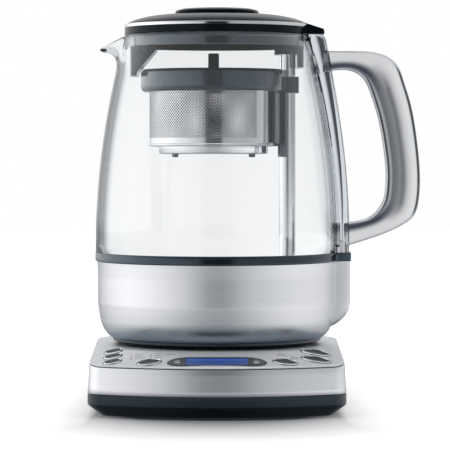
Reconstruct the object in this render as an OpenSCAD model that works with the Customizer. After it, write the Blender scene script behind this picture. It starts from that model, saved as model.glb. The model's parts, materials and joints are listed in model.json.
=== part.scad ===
// Automatic tea maker: a heated control base, a lift-off glass jug with a handle,
// and a tea basket that a screw inside a post raises and lowers.
// Millimetres. The jug's own axis is x = 0, y = 0 in every module, the table is z = 0,
// and the front of the object faces -Y. placed() moves all of it so that the origin
// is under the middle of the whole object.

/* [Base] */
// Width of the base
base_w = 169.6; // [160:0.2:180]
// Distance from the jug's axis to the front of the base
base_front = 100; // [96:1:104]
// Distance from the jug's axis to the back of the base
base_back = 85; // [80:1:90]
// Radius of the bowed front
base_front_r = 160; // [150:5:200]
// Height of the black lower tray's top edge
tray_top_z = 15.4; // [14:0.1:17]
// Height of the steel band's top edge
band_top_z = 34; // [33:0.1:35]
// Height of the flat platform under the jug
platform_z = 43.1; // [42:0.1:44]
// Radius at which the sloped panel meets the flat platform
platform_r = 135; // [134:1:136]

/* [Jug] */
// Outer radius of the glass at its foot
glass_foot_r = 82.3; // [80:0.1:84]
// Outer radius of the glass at its rim
glass_rim_r = 62.5; // [62:0.1:64]
// Height of the glass rim
glass_rim_z = 252; // [250:1:254]
// Thickness of the glass
glass_wall = 2.8; // [2:0.1:3.5]
// Height of the jug's lowest edge when it stands on the base
jug_foot_z = 45.4; // [45:0.1:46]
// Radius of the jug's foot
jug_foot_r = 70.7; // [68:0.1:74]
// Height where the glass stands on its seal
glass_foot_z = 105.2; // [104:0.1:107]
// Height of the steel shell's top edge
shell_top_z = 99.4; // [98:0.1:101]

/* [Handle] */
// Distance from the jug's axis to the outside of the handle
handle_reach = 137.4; // [130:0.1:145]
// Width of the handle from front to back
handle_depth = 22; // [18:1:26]
// Width of the clear spine that carries the handle
spine_w = 36; // [30:1:40]

/* [Post and basket] */
// Distance from the jug's axis to the post's axis
post_x = 47.8; // [47.5:0.1:48]
// Outer radius of the post tube
post_r = 5.6; // [5.4:0.1:5.8]
// Height of the post's top
post_top_z = 240; // [239:0.1:240.4]
// Place of the basket's axis along X
basket_x = -2.3; // [-2.6:0.1:-2]
// Radius of the perforated can
can_r = 43.5; // [42:0.1:43.6]
// Outer radius of the basket's ring
ring_r = 49.4; // [48:0.1:49.6]
// Height of the can's lower end
can_low_z = 176.8; // [175:0.1:178]

/* [Lid] */
// Outer radius of the lid's cover
lid_r = 62.6; // [62:0.1:64]
// Radius of the lid's knob
knob_r = 28.4; // [25:0.1:32]
// Height of the top of the knob
knob_top_z = 270.5; // [268:0.1:272]
// Outer radius of the skirt that goes into the jug's mouth
skirt_r = 59.2; // [58.6:0.1:59.3]

/* [Hidden] */

// Fineness of round things
$fn = 96;
small_fn = 32;
// Overshoot of a cutting body, and the gap between pieces that only lie beside each other
eps = 0.01;
cut = 1;
gap = 0.3;
// Radial clearance of a running fit
running = 0.05;

// The base's plan
front_corner_r = 16;
back_corner_r = 45;
front_centre_y = base_front_r - base_front;
slope = (platform_z - band_top_z) / (base_front_r - platform_r);
foot_h = 0.8;
tray_taper_z = 8.2;
tray_taper = 9.5;
tray_wall = 2.5;
// The band leans inwards from foot_inset to top_inset, and its wall is thinnest at its top
band_foot_inset = 0.15;
band_top_inset = 1.5;
band_in_inset = 2.6;
seam = 0.4;
panel_rim = 1.1;
panel_wall = 2.2;
panel_under_z = 40;
panel_low_z = 31;
board_z = 24;
board_t = 1.6;
switch_top_z = 26.9;
foot_places = [[-60, -58], [60, -58], [-52, 56], [52, 56]];
screw_places = [[-66, 12], [66, 12], [-40, 66], [40, 66]];
board_screw_places = [[-52, -58], [0, -58], [52, -58]];
boss_top_z = 8;
screw_head_r = 3.3;
screw_head_top_z = 6;
shank_r = 1.3;

// The connector between the base and the jug
hub_r = 24.33;
hub_top_z = 53;
contact_pin_r = 3;
swivel_in_r = 24.4;
swivel_out_r = 29;
jug_floor_z = jug_foot_z + 2;
socket_r = 25.2;

// The panel's keys: place, half sizes across X and Y
key_places = [
    ["button_clock", -68, -60, 5, 3],
    ["button_timer", -68, -68.3, 5, 3],
    ["button_auto_start", -68, -76.8, 5, 3],
    ["button_mode", -44, -85.5, 7, 3.75],
    ["button_minus", -25.4, -88.6, 2.6, 2.6],
    ["button_plus", 25.4, -88.6, 2.6, 2.6],
    ["button_menu", 44.2, -85, 7, 3.75],
    ["button_brew", 64.5, -63.7, 8.7, 3.7],
    ["button_heat", 64.5, -75, 8.7, 3.7]];
surround_w = 1;
key_gap = 0.25;
key_proud = 0.9;
led_places = [[-55.7, -71.6], [-55.7, -74.5], [-55.7, -77.3],
    [-42.8, -73.3], [-42.8, -76.3], [-42.8, -79.1], [37, -74.5]];
led_r = 0.55;

// The display
bezel_half_x = 32.5;
bezel_half_y = 6.4;
display_y = -89;
window_half_x = 20.2;
window_half_y = 5.2;

// The jug's foot, shell and glass
shell_wall = 1.2;
lug_x = 89.8;
lug_half_y = spine_w / 2;
band_r = 82.6;
band_top = 103.2;
seal_in_r = 78.2;
plate_z = band_top;
glass_in = [-glass_wall, 0];
lug_screw_x = 84.4;
lug_screw_y = 13.8;
screw_r = 1.8;

// The drive under the heated floor
gear_module = 0.9;
screw_teeth = 20;
pinion_teeth = 10;
pinion_x = post_x - gear_module * (screw_teeth + pinion_teeth) / 2 - 0.15;
gear_z = 89;
gear_h = 4;
lift_screw_r = 1.6;
post_in_r = 4.8;
nut_r = post_in_r - 0.08;
nut_z = 212;
nut_h = 12;
bracket_z = 86;
motor_r = 9.5;

// The basket
ring_low_z = 213.6;
ring_top_z = 226.5;
ring_lip_z = 228.5;
can_wall = 0.6;
basket_lid_r = 42;
basket_lid_z = 225.2;
ring_seat_r = 41.2;
peg_r = 3.75;
peg_top_z = 239.6;
collar_low_z = 212.8;
collar_top_z = 223.7;
collar_half_y = 7.4;
leg_low_z = 179;
shoe_low_z = 169.6;

// The lid
lid_low_z = 252.4;
trim_low_z = 256.9;
trim_t = 0.4;
skirt_low_z = 243.8;
skirt_wall = 2.5;
tongue_x = 72.3;
tongue_half_y = 15;

// The whole object runs from the base's left side to the handle, and over the base's depth
origin_x = (handle_reach - base_w / 2) / 2;
origin_y = (base_back - base_front) / 2;

module placed() translate([-origin_x, -origin_y, 0]) children();

// ---- curves ----------------------------------------------------------------

// Points of an arc about c, from angle a0 to a1 in n steps
function arc(c, r, a0, a1, n) =
    [for (i = [0:n]) let (a = a0 + (a1 - a0) * i / n) [c[0] + r * cos(a), c[1] + r * sin(a)]];

// Points of a cubic curve with end points p0, p3 and handles p1, p2
function cubic(p0, p1, p2, p3, n) =
    [for (i = [0:n]) let (t = i / n, s = 1 - t)
        p0 * pow(s, 3) + 3 * p1 * t * pow(s, 2) + 3 * p2 * pow(t, 2) * s + p3 * pow(t, 3)];

// One point of a smooth curve that passes through the list p, at u from 0 to 1
function through(p, u) =
    let (last = len(p) - 1, i = min(floor(u * last), last - 1), t = u * last - i,
        a = p[max(i - 1, 0)], b = p[i], c = p[i + 1], d = p[min(i + 2, last)])
    0.5 * (2 * b + (c - a) * t + (2 * a - 5 * b + 4 * c - d) * pow(t, 2)
        + (3 * b - a - 3 * c + d) * pow(t, 3));

// An ellipse of half sizes a and b
function oval(a, b, n = 40) = [for (i = [0:n - 1]) [a * cos(360 * i / n), b * sin(360 * i / n)]];

// The base's outline, moved inwards by inset
function base_plan(inset) =
    let (hw = base_w / 2 - inset, rc = front_corner_r - inset, rb = back_corner_r - inset,
        by = base_back - inset, fx = hw - rc,
        fy = front_centre_y - sqrt(pow(base_front_r - inset - rc, 2) - pow(fx, 2)),
        turn = atan2(fy - front_centre_y, fx))
    concat(
        arc([0, front_centre_y], base_front_r - inset, -180 - turn, turn, 28),
        arc([fx, fy], rc, turn, 0, 9),
        arc([hw - rb, by - rb], rb, 0, 90, 12),
        arc([rb - hw, by - rb], rb, 90, 180, 12),
        arc([-fx, fy], rc, 180, 180 - turn, 9));

// The height of the panel's surface over a point
function panel_z(x, y) =
    min(platform_z, band_top_z + slope * (base_front_r - norm([x, y - front_centre_y])));

// The outside of the glass from its foot to its rim
function glass_line(n = 20) = cubic([glass_foot_r, 114], [glass_foot_r, 160],
    [glass_rim_r + 12, 208], [glass_rim_r, glass_rim_z], n);

// The outside of the clear spine
function spine_line(n = 16) = cubic([lug_x, 118], [lug_x, 165], [82.5, 206], [74.2, 248.5], n);

// A line of points moved by d
function moved(p, d) = [for (q = p) q + d];

// The list p backwards
function reversed(p) = [for (i = [len(p) - 1:-1:0]) p[i]];

// ---- shared bodies -----------------------------------------------------------

// A prism of the base's outline
module base_prism(inset, z0, z1) {
    translate([0, 0, z0]) linear_extrude(height = z1 - z0) polygon(base_plan(inset));
}

// Everything under the panel's sloped front and flat platform, moved up by rise
module under_slope(rise) {
    translate([0, front_centre_y, rise])
        cylinder(h = platform_z, r1 = platform_r + platform_z / slope, r2 = platform_r, $fn = 256);
}

// A vertical oval prism
module oval_prism(x, y, a, b, z0, z1) {
    translate([x, y, z0]) linear_extrude(height = z1 - z0) polygon(oval(a, b));
}

// A tube or washer
module ring(r_out, r_in, z0, z1) {
    translate([0, 0, z0]) difference() {
        cylinder(h = z1 - z0, r = r_out);
        translate([0, 0, -cut]) cylinder(h = z1 - z0 + 2 * cut, r = r_in);
    }
}

// A box between two corners
module block(low, high) {
    translate(low) cube(high - low);
}

// The solid inside a radius line, from the first height to the last
module turned(line) {
    rotate_extrude() polygon(concat([[0, line[0][1]]], line, [[0, line[len(line) - 1][1]]]));
}

// A spur gear with straight-sided teeth and a little backlash
module spur_gear(teeth, h, phase) {
    pitch_r = gear_module * teeth / 2;
    root_r = pitch_r - 1.15 * gear_module;
    tip_r = pitch_r + 0.8 * gear_module;
    step = 360 / teeth;
    linear_extrude(height = h) polygon([for (i = [0:teeth - 1]) for (c = [[-0.27, root_r],
        [-0.1, tip_r], [0.1, tip_r], [0.27, root_r]])
        c[1] * [cos((i + c[0]) * step + phase), sin((i + c[0]) * step + phase)]]);
}

// The square boss on the handle's side of the jug, between two heights
module lug(grow, z0, z1) {
    intersection() {
        block([40, -lug_half_y - grow, z0], [lug_x + grow, lug_half_y + grow, z1]);
        translate([0, 0, z0]) cylinder(h = z1 - z0, r = lug_x + grow);
    }
}

// The two screws that hold the spine, as cutting bodies or shanks
module spine_bolts(r, z0, z1) {
    for (y = [-lug_screw_y, lug_screw_y])
        translate([lug_screw_x, y, z0]) cylinder(h = z1 - z0, r = r, $fn = small_fn);
}

// ---- base --------------------------------------------------------------------

module base_tray() {
    color([0.05, 0.06, 0.07]) placed() difference() {
        union() {
            hull() {
                base_prism(tray_taper, foot_h, foot_h + 0.6);
                base_prism(0, tray_taper_z - 0.6, tray_taper_z);
            }
            base_prism(0, tray_taper_z - 0.3, tray_top_z);
        }
        difference() {
            base_prism(tray_taper + tray_wall, foot_h + tray_wall, tray_top_z + cut);
            for (p = screw_places) translate([p[0], p[1], 0]) cylinder(h = boss_top_z, r = 5.5);
        }
        for (p = screw_places) translate([p[0], p[1], 0]) {
            cylinder(h = 20, r = shank_r + 0.3, $fn = small_fn);
            cylinder(h = screw_head_top_z, r = screw_head_r + 0.3, $fn = small_fn);
        }
        for (p = foot_places) translate([p[0], p[1], 0])
            cylinder(h = foot_h + 1, r = 8, $fn = small_fn);
    }
}

module base_band() {
    color([0.78, 0.79, 0.80]) placed() difference() {
        intersection() {
            hull() {
                base_prism(band_foot_inset, tray_top_z + eps, tray_top_z + 0.1);
                base_prism(band_top_inset, platform_z - 1, platform_z);
            }
            under_slope(-panel_rim - seam);
        }
        base_prism(band_in_inset, tray_top_z - cut, platform_z + cut);
        translate([0, base_back + cut, 24]) rotate([90, 0, 0]) cylinder(h = 8, r = 6);
    }
}

// The one-piece top: sloped control panel in front, flat platform behind
module base_top_panel() {
    color([0.76, 0.77, 0.79]) placed() difference() {
        union() {
            difference() {
                intersection() {
                    hull() {
                        base_prism(band_top_inset, panel_low_z, platform_z - 0.9);
                        base_prism(band_top_inset + 0.9, platform_z - 0.9, platform_z);
                    }
                    under_slope(0);
                }
                difference() {
                    under_slope(-panel_rim);
                    base_prism(band_in_inset + 0.1, 0, 60);
                }
                intersection() {
                    base_prism(4.5, panel_low_z - cut, panel_under_z);
                    under_slope(-panel_wall);
                }
            }
            for (p = screw_places) translate([p[0], p[1], boss_top_z])
                cylinder(h = 41 - boss_top_z, r = 4, $fn = small_fn);
            for (p = board_screw_places) translate([p[0], p[1], board_z + board_t])
                cylinder(h = 41 - board_z - board_t, r = 3, $fn = small_fn);
        }
        for (p = screw_places) translate([p[0], p[1], 0])
            cylinder(h = 24, r = shank_r, $fn = small_fn);
        for (p = board_screw_places) translate([p[0], p[1], 0])
            cylinder(h = 33, r = shank_r, $fn = small_fn);
        for (k = key_places) if (k[0] != "button_minus" && k[0] != "button_plus")
            oval_prism(k[1], k[2], k[3] + surround_w, k[4] + surround_w, 20, 50);
        translate([0, 0, 20]) linear_extrude(height = 30) polygon(bezel_plan(0));
        for (p = led_places) translate([p[0], p[1], 20])
            cylinder(h = 30, r = led_r, $fn = small_fn);
        translate([0, 0, 36]) cylinder(h = 20, r = hub_r);
    }
}

module base_feet() {
    color([0.1, 0.1, 0.1]) placed() for (p = foot_places)
        translate([p[0], p[1], 0]) cylinder(h = foot_h + 1, r = 8, $fn = small_fn);
}

// A pan-head screw that points up, with its head's top face at z
module pan_screw(p, z, length) {
    translate([p[0], p[1], z - 2]) cylinder(h = 2, r = screw_head_r, $fn = small_fn);
    translate([p[0], p[1], z - 1]) cylinder(h = length + 1, r = shank_r, $fn = small_fn);
}

module base_screws() {
    color([0.6, 0.6, 0.6]) placed() {
        for (p = screw_places) pan_screw(p, screw_head_top_z, 14);
        for (p = board_screw_places) pan_screw(p, board_z, 8);
    }
}

// The raised hub that the jug's socket drops over, with its annular contact slots
module connector_hub() {
    color([0.09, 0.09, 0.1]) placed() difference() {
        union() {
            translate([0, 0, 37.5]) cylinder(h = hub_top_z - 37.5, r = hub_r - 0.02);
            translate([0, 0, 37.5]) cylinder(h = panel_under_z - 37.5, r = 30);
        }
        ring(16.2, 13.4, 44, hub_top_z + cut);
        ring(10.2, 7.4, 44, hub_top_z + cut);
        translate([0, 0, 44]) cylinder(h = 10, r = contact_pin_r + gap, $fn = 48);
    }
}

module connector_contacts() {
    color([0.8, 0.65, 0.3]) placed() {
        ring(16.2, 15.4, 44, hub_top_z - 2);
        ring(10.2, 9.4, 44, hub_top_z - 2);
        translate([0, 0, 44 + eps]) cylinder(h = 0.8, r = contact_pin_r, $fn = 48);
    }
}

// The bezel's outline: straight in the middle, half an ellipse at each end
function bezel_plan(inset) =
    let (end_x = bezel_half_x - window_half_x - inset, half_y = bezel_half_y - inset)
    concat(
        [for (i = [0:16]) let (a = -90 + 180 * i / 16)
            [window_half_x + end_x * cos(a), display_y + half_y * sin(a)]],
        [for (i = [0:16]) let (a = 90 + 180 * i / 16)
            [-window_half_x + end_x * cos(a), display_y + half_y * sin(a)]]);

module display_bezel() {
    color([0.16, 0.17, 0.18]) placed() difference() {
        intersection() {
            translate([0, 0, 30]) linear_extrude(height = 20) polygon(bezel_plan(0.1));
            under_slope(0.35);
        }
        intersection() {
            block([-60, -110, 20], [60, -60, 60]);
            under_slope(-panel_wall);
        }
        block([-window_half_x, display_y - window_half_y, 20],
            [window_half_x, display_y + window_half_y, 60]);
        for (k = key_places) if (k[0] == "button_minus" || k[0] == "button_plus")
            translate([k[1], k[2], 20]) cylinder(h = 30, r = k[3] + key_gap, $fn = small_fn);
    }
}

module display_window() {
    color([0.12, 0.24, 0.63]) placed() difference() {
        intersection() {
            block([-window_half_x + 0.1, display_y - window_half_y + 0.1, 30],
                [window_half_x - 0.1, display_y + window_half_y - 0.1, 50]);
            under_slope(0.3);
        }
        intersection() {
            block([-60, -110, 20], [60, -60, 60]);
            under_slope(-1.2);
        }
    }
}

module display_module() {
    color([0.1, 0.3, 0.2]) placed()
        block([-21.5, display_y - 5.2, board_z + board_t], [21.5, display_y + 5.2, 32.4]);
}

module control_board() {
    color([0.1, 0.35, 0.2]) placed() difference() {
        intersection() {
            block([-78, -96, board_z], [78, -54, board_z + board_t]);
            base_prism(4, 0, 60);
        }
        for (p = board_screw_places) translate([p[0], p[1], 0])
            cylinder(h = 60, r = shank_r + 0.3, $fn = small_fn);
    }
}

module key_switches() {
    color([0.15, 0.15, 0.15]) placed() for (k = key_places) translate([k[1], k[2], 0]) {
        block([-2.4, -2.4, board_z + board_t], [2.4, 2.4, switch_top_z - 0.5]);
        translate([0, 0, switch_top_z - 0.5]) cylinder(h = 0.5, r = 1.2, $fn = small_fn);
    }
}

// Light pipes that come up flush with the panel
module status_leds() {
    color([0.8, 0.2, 0.15]) placed() for (p = led_places) intersection() {
        translate([p[0], p[1], board_z + board_t]) cylinder(h = 30, r = led_r - 0.03, $fn = small_fn);
        under_slope(0.05);
    }
}

module power_board() {
    color([0.1, 0.35, 0.2]) placed() block([-60, 20, 9], [60, 60, 10.6]);
    color([0.2, 0.2, 0.2]) placed() for (x = [-56, 56], y = [24, 56])
        block([x - 2, y - 2, foot_h + tray_wall], [x + 2, y + 2, 9]);
}

module power_relay() {
    color([0.1, 0.2, 0.5]) placed() block([20, 30, 10.6], [40, 46, 26]);
}

module transformer() {
    color([0.5, 0.45, 0.4]) placed() {
        block([-50, 28, 10.6], [-16, 56, 34]);
        block([-44, 24, 14], [-22, 28, 30]);
    }
}

module cord_gland() {
    color([0.06, 0.06, 0.06]) placed() translate([0, base_back - 0.3, 24]) rotate([90, 0, 0])
        difference() {
            union() {
                cylinder(h = 12, r = 5.9);
                translate([0, 0, 3.3]) cylinder(h = 2, r = 6.8);
            }
            translate([0, 0, -cut]) cylinder(h = 12 + 2 * cut, r = 3.8);
        }
}

// Bright rims let into the panel around the oval keys
module button_surrounds() {
    color([0.85, 0.86, 0.88]) placed() for (k = key_places)
        if (k[0] != "button_minus" && k[0] != "button_plus") difference() {
            intersection() {
                oval_prism(k[1], k[2], k[3] + surround_w - 0.05, k[4] + surround_w - 0.05, 28, 50);
                under_slope(0.4);
            }
            under_slope(-panel_wall);
            oval_prism(k[1], k[2], k[3] + key_gap, k[4] + key_gap, 20, 60);
        }
}

// One key: a cap that follows the slope, a lip that keeps it in, and a stem to its switch
module key(i, shade) {
    k = key_places[i];
    z = panel_z(k[1], k[2]);
    color(shade) placed() {
        intersection() {
            oval_prism(k[1], k[2], k[3], k[4], z - 4.6, 60);
            under_slope(key_proud);
        }
        oval_prism(k[1], k[2], k[3] + 0.8, k[4] + 0.8, z - 5.8, z - 4.6 + eps);
        translate([k[1], k[2], switch_top_z + 1.05])
            cylinder(h = z - 5.7 - switch_top_z - 1.05, r = 1.5, $fn = small_fn);
    }
}

chrome = [0.82, 0.83, 0.85];
dark = [0.2, 0.21, 0.23];

module button_clock() { key(0, chrome); }
module button_timer() { key(1, chrome); }
module button_auto_start() { key(2, chrome); }
module button_mode() { key(3, dark); }
module button_minus() { key(4, chrome); }
module button_plus() { key(5, chrome); }
module button_menu() { key(6, dark); }
module button_brew() { key(7, dark); }
module button_heat() { key(8, dark); }

// ---- jug ---------------------------------------------------------------------

// A loose low-friction ring round the hub, on which the jug turns
module swivel_ring() {
    color([0.85, 0.85, 0.82]) placed() ring(swivel_out_r, swivel_in_r, platform_z + 0.05,
        jug_foot_z - 0.05);
}

module jug_foot() {
    color([0.04, 0.04, 0.05]) placed() difference() {
        union() {
            ring(jug_foot_r, socket_r + 3.2, jug_foot_z, jug_floor_z);
            ring(jug_foot_r - 1, jug_foot_r - 4, jug_floor_z - eps, 52);
        }
        for (a = [45:90:315]) rotate([0, 0, a]) translate([58, 0, 40])
            cylinder(h = 20, r = 1.7, $fn = small_fn);
    }
}

// The brushed shell's outside, from its lower lip round the belly to its top edge
function shell_line() = concat(
    cubic([jug_foot_r + 0.2, jug_floor_z], [74.5, 48.8], [78.6, 54.5], [79.6, 61.5], 12),
    [[80.9, 69.7], [80.9, 90], [81.4, shell_top_z]]);

module jug_shell() {
    color([0.72, 0.74, 0.76]) placed() difference() {
        union() {
            turned(shell_line());
            intersection() {
                lug(0, 56, shell_top_z);
                rotate([90, 0, 0]) linear_extrude(height = 60, center = true) polygon(concat(
                    cubic([79, 56], [84, 59], [lug_x, 63], [lug_x, 70], 8),
                    [[lug_x, shell_top_z], [40, shell_top_z], [40, 56]]));
            }
        }
        turned(moved(shell_line(), [-shell_wall, 0]));
        translate([0, 0, jug_floor_z - cut]) cylinder(h = 2 * cut, r = jug_foot_r - 1);
        translate([0, 0, shell_top_z - 1]) cylinder(h = 2, r = 80.2);
        spine_bolts(screw_r + 0.1, 72, 110);
        spine_bolts(3.6, 50, 80);
    }
}

module jug_band() {
    color([0.1, 0.12, 0.14]) placed() difference() {
        union() {
            translate([0, 0, shell_top_z]) cylinder(h = band_top - shell_top_z, r = band_r);
            lug(0.7, shell_top_z, glass_foot_z);
        }
        translate([0, 0, shell_top_z - cut]) cylinder(h = 10, r = 76);
        translate([0, 0, band_top]) cylinder(h = 10, r = band_r - 0.2);
        spine_bolts(screw_r + 0.1, 90, 110);
    }
}

// The pouring lip's side view: outside, and the hollow inside it
spout_outside = [[-50, 228], [-66.3, 230], [-68.4, 235], [-70.8, 238.4], [-73.6, 240],
    [-77.4, 240.6], [-79.6, 241.6], [-79.6, 242.6], [-76.5, 245.6], [-72, 248.7],
    [-67, 251], [-62, 252], [-50, 252]];
spout_hollow = [[-50, 233], [-63.4, 234], [-66, 238.4], [-69.4, 241.4], [-73.4, 242.8],
    [-78.5, 243.2], [-82, 243.4], [-82, 262], [-50, 262]];

// The pouring lip seen from above, moved inwards by inset
function spout_plan(inset) = [[-50, 25 - inset], [-61, 17.5 - inset], [-68, 10.8 - inset],
    [-74, 7 - inset], [-78, 4.6 - inset], [-80 + inset, 1.8], [-80 + inset, -1.8],
    [-78, -4.6 + inset], [-74, -7 + inset], [-68, -10.8 + inset], [-61, -17.5 + inset],
    [-50, -25 + inset]];

module spout_body(side, plan) {
    intersection() {
        rotate([90, 0, 0]) linear_extrude(height = 70, center = true) polygon(side);
        translate([0, 0, 200]) linear_extrude(height = 80) polygon(plan);
    }
}

module glass_jug() {
    outside = concat([[glass_foot_r, glass_foot_z]], glass_line());
    color([0.85, 0.9, 0.92, 0.35]) placed() difference() {
        union() {
            turned(outside);
            spout_body(spout_outside, spout_plan(0));
        }
        turned(moved(concat([[glass_foot_r, glass_foot_z - cut]], glass_line(),
            [[glass_rim_r - 0.3, glass_rim_z + cut]]), glass_in));
        spout_body(spout_hollow, spout_plan(2.4));
    }
}

module floor_seal() {
    color([0.1, 0.12, 0.13]) placed() ring(band_r - 0.2, seal_in_r, band_top, glass_foot_z);
}

module heater_plate() {
    color([0.7, 0.71, 0.73]) placed() difference() {
        translate([0, 0, plate_z]) cylinder(h = glass_foot_z - plate_z - 0.4, r = seal_in_r);
        translate([post_x, 0, 90]) cylinder(h = 30, r = post_r);
    }
}

module heating_element() {
    color([0.45, 0.42, 0.4]) placed() rotate([0, 0, 32]) rotate_extrude(angle = 296)
        translate([46, plate_z - 3.5]) circle(r = 3.5, $fn = 48);
}

module temperature_sensor() {
    color([0.75, 0.73, 0.68]) placed() translate([-18, 0, plate_z - 8]) {
        cylinder(h = 8, r = 4, $fn = 48);
        translate([0, 0, 0]) cylinder(h = 2, r = 7, $fn = 48);
    }
}

module connector_socket() {
    color([0.12, 0.12, 0.13]) placed() difference() {
        union() {
            translate([0, 0, jug_foot_z + 0.2]) cylinder(h = 14, r = socket_r + 3);
        }
        translate([0, 0, jug_foot_z - cut]) cylinder(h = hub_top_z - jug_foot_z + 1.4, r = socket_r);
    }
    color([0.8, 0.65, 0.3]) placed() {
        ring(14.8, 14, 47.4, 54);
        ring(8.8, 8, 47.4, 54);
        translate([0, 0, 46.4]) cylinder(h = 8, r = contact_pin_r - 0.6, $fn = 48);
    }
}

module drive_bracket() {
    color([0.3, 0.31, 0.33]) placed() difference() {
        union() {
            block([pinion_x - 14, -16, bracket_z], [post_x + 12, 16, bracket_z + 2]);
            for (x = [pinion_x - 3, post_x + 8], y = [-13, 13]) translate([x, y, jug_floor_z])
                cylinder(h = bracket_z - jug_floor_z, r = 2.5, $fn = small_fn);
        }
        translate([post_x, 0, 80]) cylinder(h = 20, r = lift_screw_r + running, $fn = 48);
        translate([pinion_x, 0, 80]) cylinder(h = 20, r = 3, $fn = 48);
    }
}

module lift_motor() {
    color([0.7, 0.7, 0.72]) placed() translate([pinion_x, 0, 0]) difference() {
        union() {
            translate([0, 0, 62]) cylinder(h = bracket_z - 62, r = motor_r);
            translate([0, 0, bracket_z]) cylinder(h = 1.5, r = 2.9, $fn = 48);
        }
        translate([0, 0, 70]) cylinder(h = 30, r = 1 + running, $fn = 48);
    }
}

module motor_pinion() {
    color([0.9, 0.88, 0.8]) placed() translate([pinion_x, 0, 0]) {
        translate([0, 0, gear_z]) spur_gear(pinion_teeth, gear_h, 0);
        translate([0, 0, 72]) cylinder(h = gear_z + 1 - 72, r = 1, $fn = 48);
    }
}

module lift_screw() {
    color([0.75, 0.76, 0.78]) placed() translate([post_x, 0, 0]) {
        translate([0, 0, 80]) cylinder(h = 156, r = lift_screw_r, $fn = 48);
        translate([0, 0, gear_z]) spur_gear(screw_teeth, gear_h, 180 + 180 / screw_teeth);
    }
}

// The sealed tube in which the lift screw turns
module post_tube() {
    color([0.85, 0.86, 0.87]) placed() translate([post_x, 0, 0]) difference() {
        translate([0, 0, 96]) cylinder(h = post_top_z - 96, r = post_r - 0.02);
        translate([0, 0, 95]) cylinder(h = post_top_z - 96.5, r = post_in_r);
    }
}

module lift_nut() {
    color([0.9, 0.9, 0.86]) placed() translate([post_x, 0, nut_z]) difference() {
        cylinder(h = nut_h, r = nut_r);
        translate([0, 0, -cut]) cylinder(h = nut_h + 2 * cut, r = lift_screw_r + running, $fn = 48);
        translate([0, 0, 3]) difference() {
            cylinder(h = nut_h - 6, r = nut_r + 1);
            translate([0, 0, -cut]) cylinder(h = nut_h, r = 3);
        }
    }
}

module nut_magnets() {
    color([0.3, 0.3, 0.32]) placed() translate([post_x, 0, nut_z + 3]) difference() {
        cylinder(h = nut_h - 6, r = nut_r - 0.1);
        translate([0, 0, -cut]) cylinder(h = nut_h, r = 3);
    }
}

// ---- handle ------------------------------------------------------------------

module handle_spine() {
    color([0.85, 0.88, 0.9, 0.5]) placed() difference() {
        intersection() {
            turned(concat([[lug_x, glass_foot_z]], spine_line(), [[73.4, 250.6], [71.8, glass_rim_z]]));
            block([0, -spine_w / 2, glass_foot_z], [200, spine_w / 2, 253]);
        }
        turned(moved(concat([[glass_foot_r, glass_foot_z - cut]], glass_line(),
            [[glass_rim_r - 0.3, 254]]), [0.15, 0]));
        spine_bolts(screw_r + 0.1, 100, 114);
    }
}

module spine_screws() {
    color([0.65, 0.66, 0.68]) placed() {
        spine_bolts(screw_r, 78, 113);
        spine_bolts(3.3, 76, 80);
    }
}

// Side view of the handle: each station is its outer point, then its inner point
handle_stations = [
    [[70.8, 241.4], [70.8, 226.6]],
    [[84, 241.3], [82, 228.6]],
    [[95, 241.2], [91, 228.2]],
    [[105, 240.6], [98, 224.6]],
    [[115, 237.8], [101.8, 219.4]],
    [[122.6, 231], [104.6, 212.4]],
    [[127, 219.5], [107.2, 204.6]],
    [[131.6, 204], [109.9, 195]],
    [[135, 185], [112.6, 181]],
    [[handle_reach, 162], [114.9, 162]],
    [[handle_reach - 0.2, 144], [114.5, 146.5]],
    [[134, 130.6], [112.6, 138.8]],
    [[126, 123.8], [108.4, 132.4]],
    [[115, 118.4], [102.6, 128.2]],
    [[101, 113.4], [96, 126.3]],
    [[92, 110.6], [89, 125.3]],
    [[84.6, 108.6], [84.6, 125]]];
handle_rings = 64;
handle_sides = 24;

// A rounded square: the cosine or sine pushed outwards
function squared(c) = sign(c) * pow(abs(c), 0.7);

// One ring of the handle's skin at u from 0 to 1
function handle_ring(u) =
    let (outer = through([for (s = handle_stations) s[0]], u),
        inner = through([for (s = handle_stations) s[1]], u),
        mid = (outer + inner) / 2, half = (outer - inner) / 2)
    [for (i = [0:handle_sides - 1]) let (a = 360 * i / handle_sides,
        p = mid + half * squared(cos(a)), y = handle_depth / 2 * squared(sin(a)))
        [p[0], y, p[1]]];

module handle() {
    n = handle_sides;
    points = [for (i = [0:handle_rings]) each handle_ring(i / handle_rings)];
    sides = [for (i = [0:handle_rings - 1]) for (j = [0:n - 1])
        let (k = (j + 1) % n) each [[i * n + j, i * n + k, (i + 1) * n + k],
            [i * n + j, (i + 1) * n + k, (i + 1) * n + j]]];
    start = [[for (j = [n - 1:-1:0]) j]];
    end = [[for (j = [0:n - 1]) handle_rings * n + j]];
    color([0.8, 0.82, 0.84, 0.6]) placed() polyhedron(points, concat(sides, start, end));
}

// ---- basket ------------------------------------------------------------------

// The room that the can needs inside the carriage
module can_room() {
    translate([basket_x, 0, 150]) cylinder(h = 100, r = can_r + gap);
}

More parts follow.
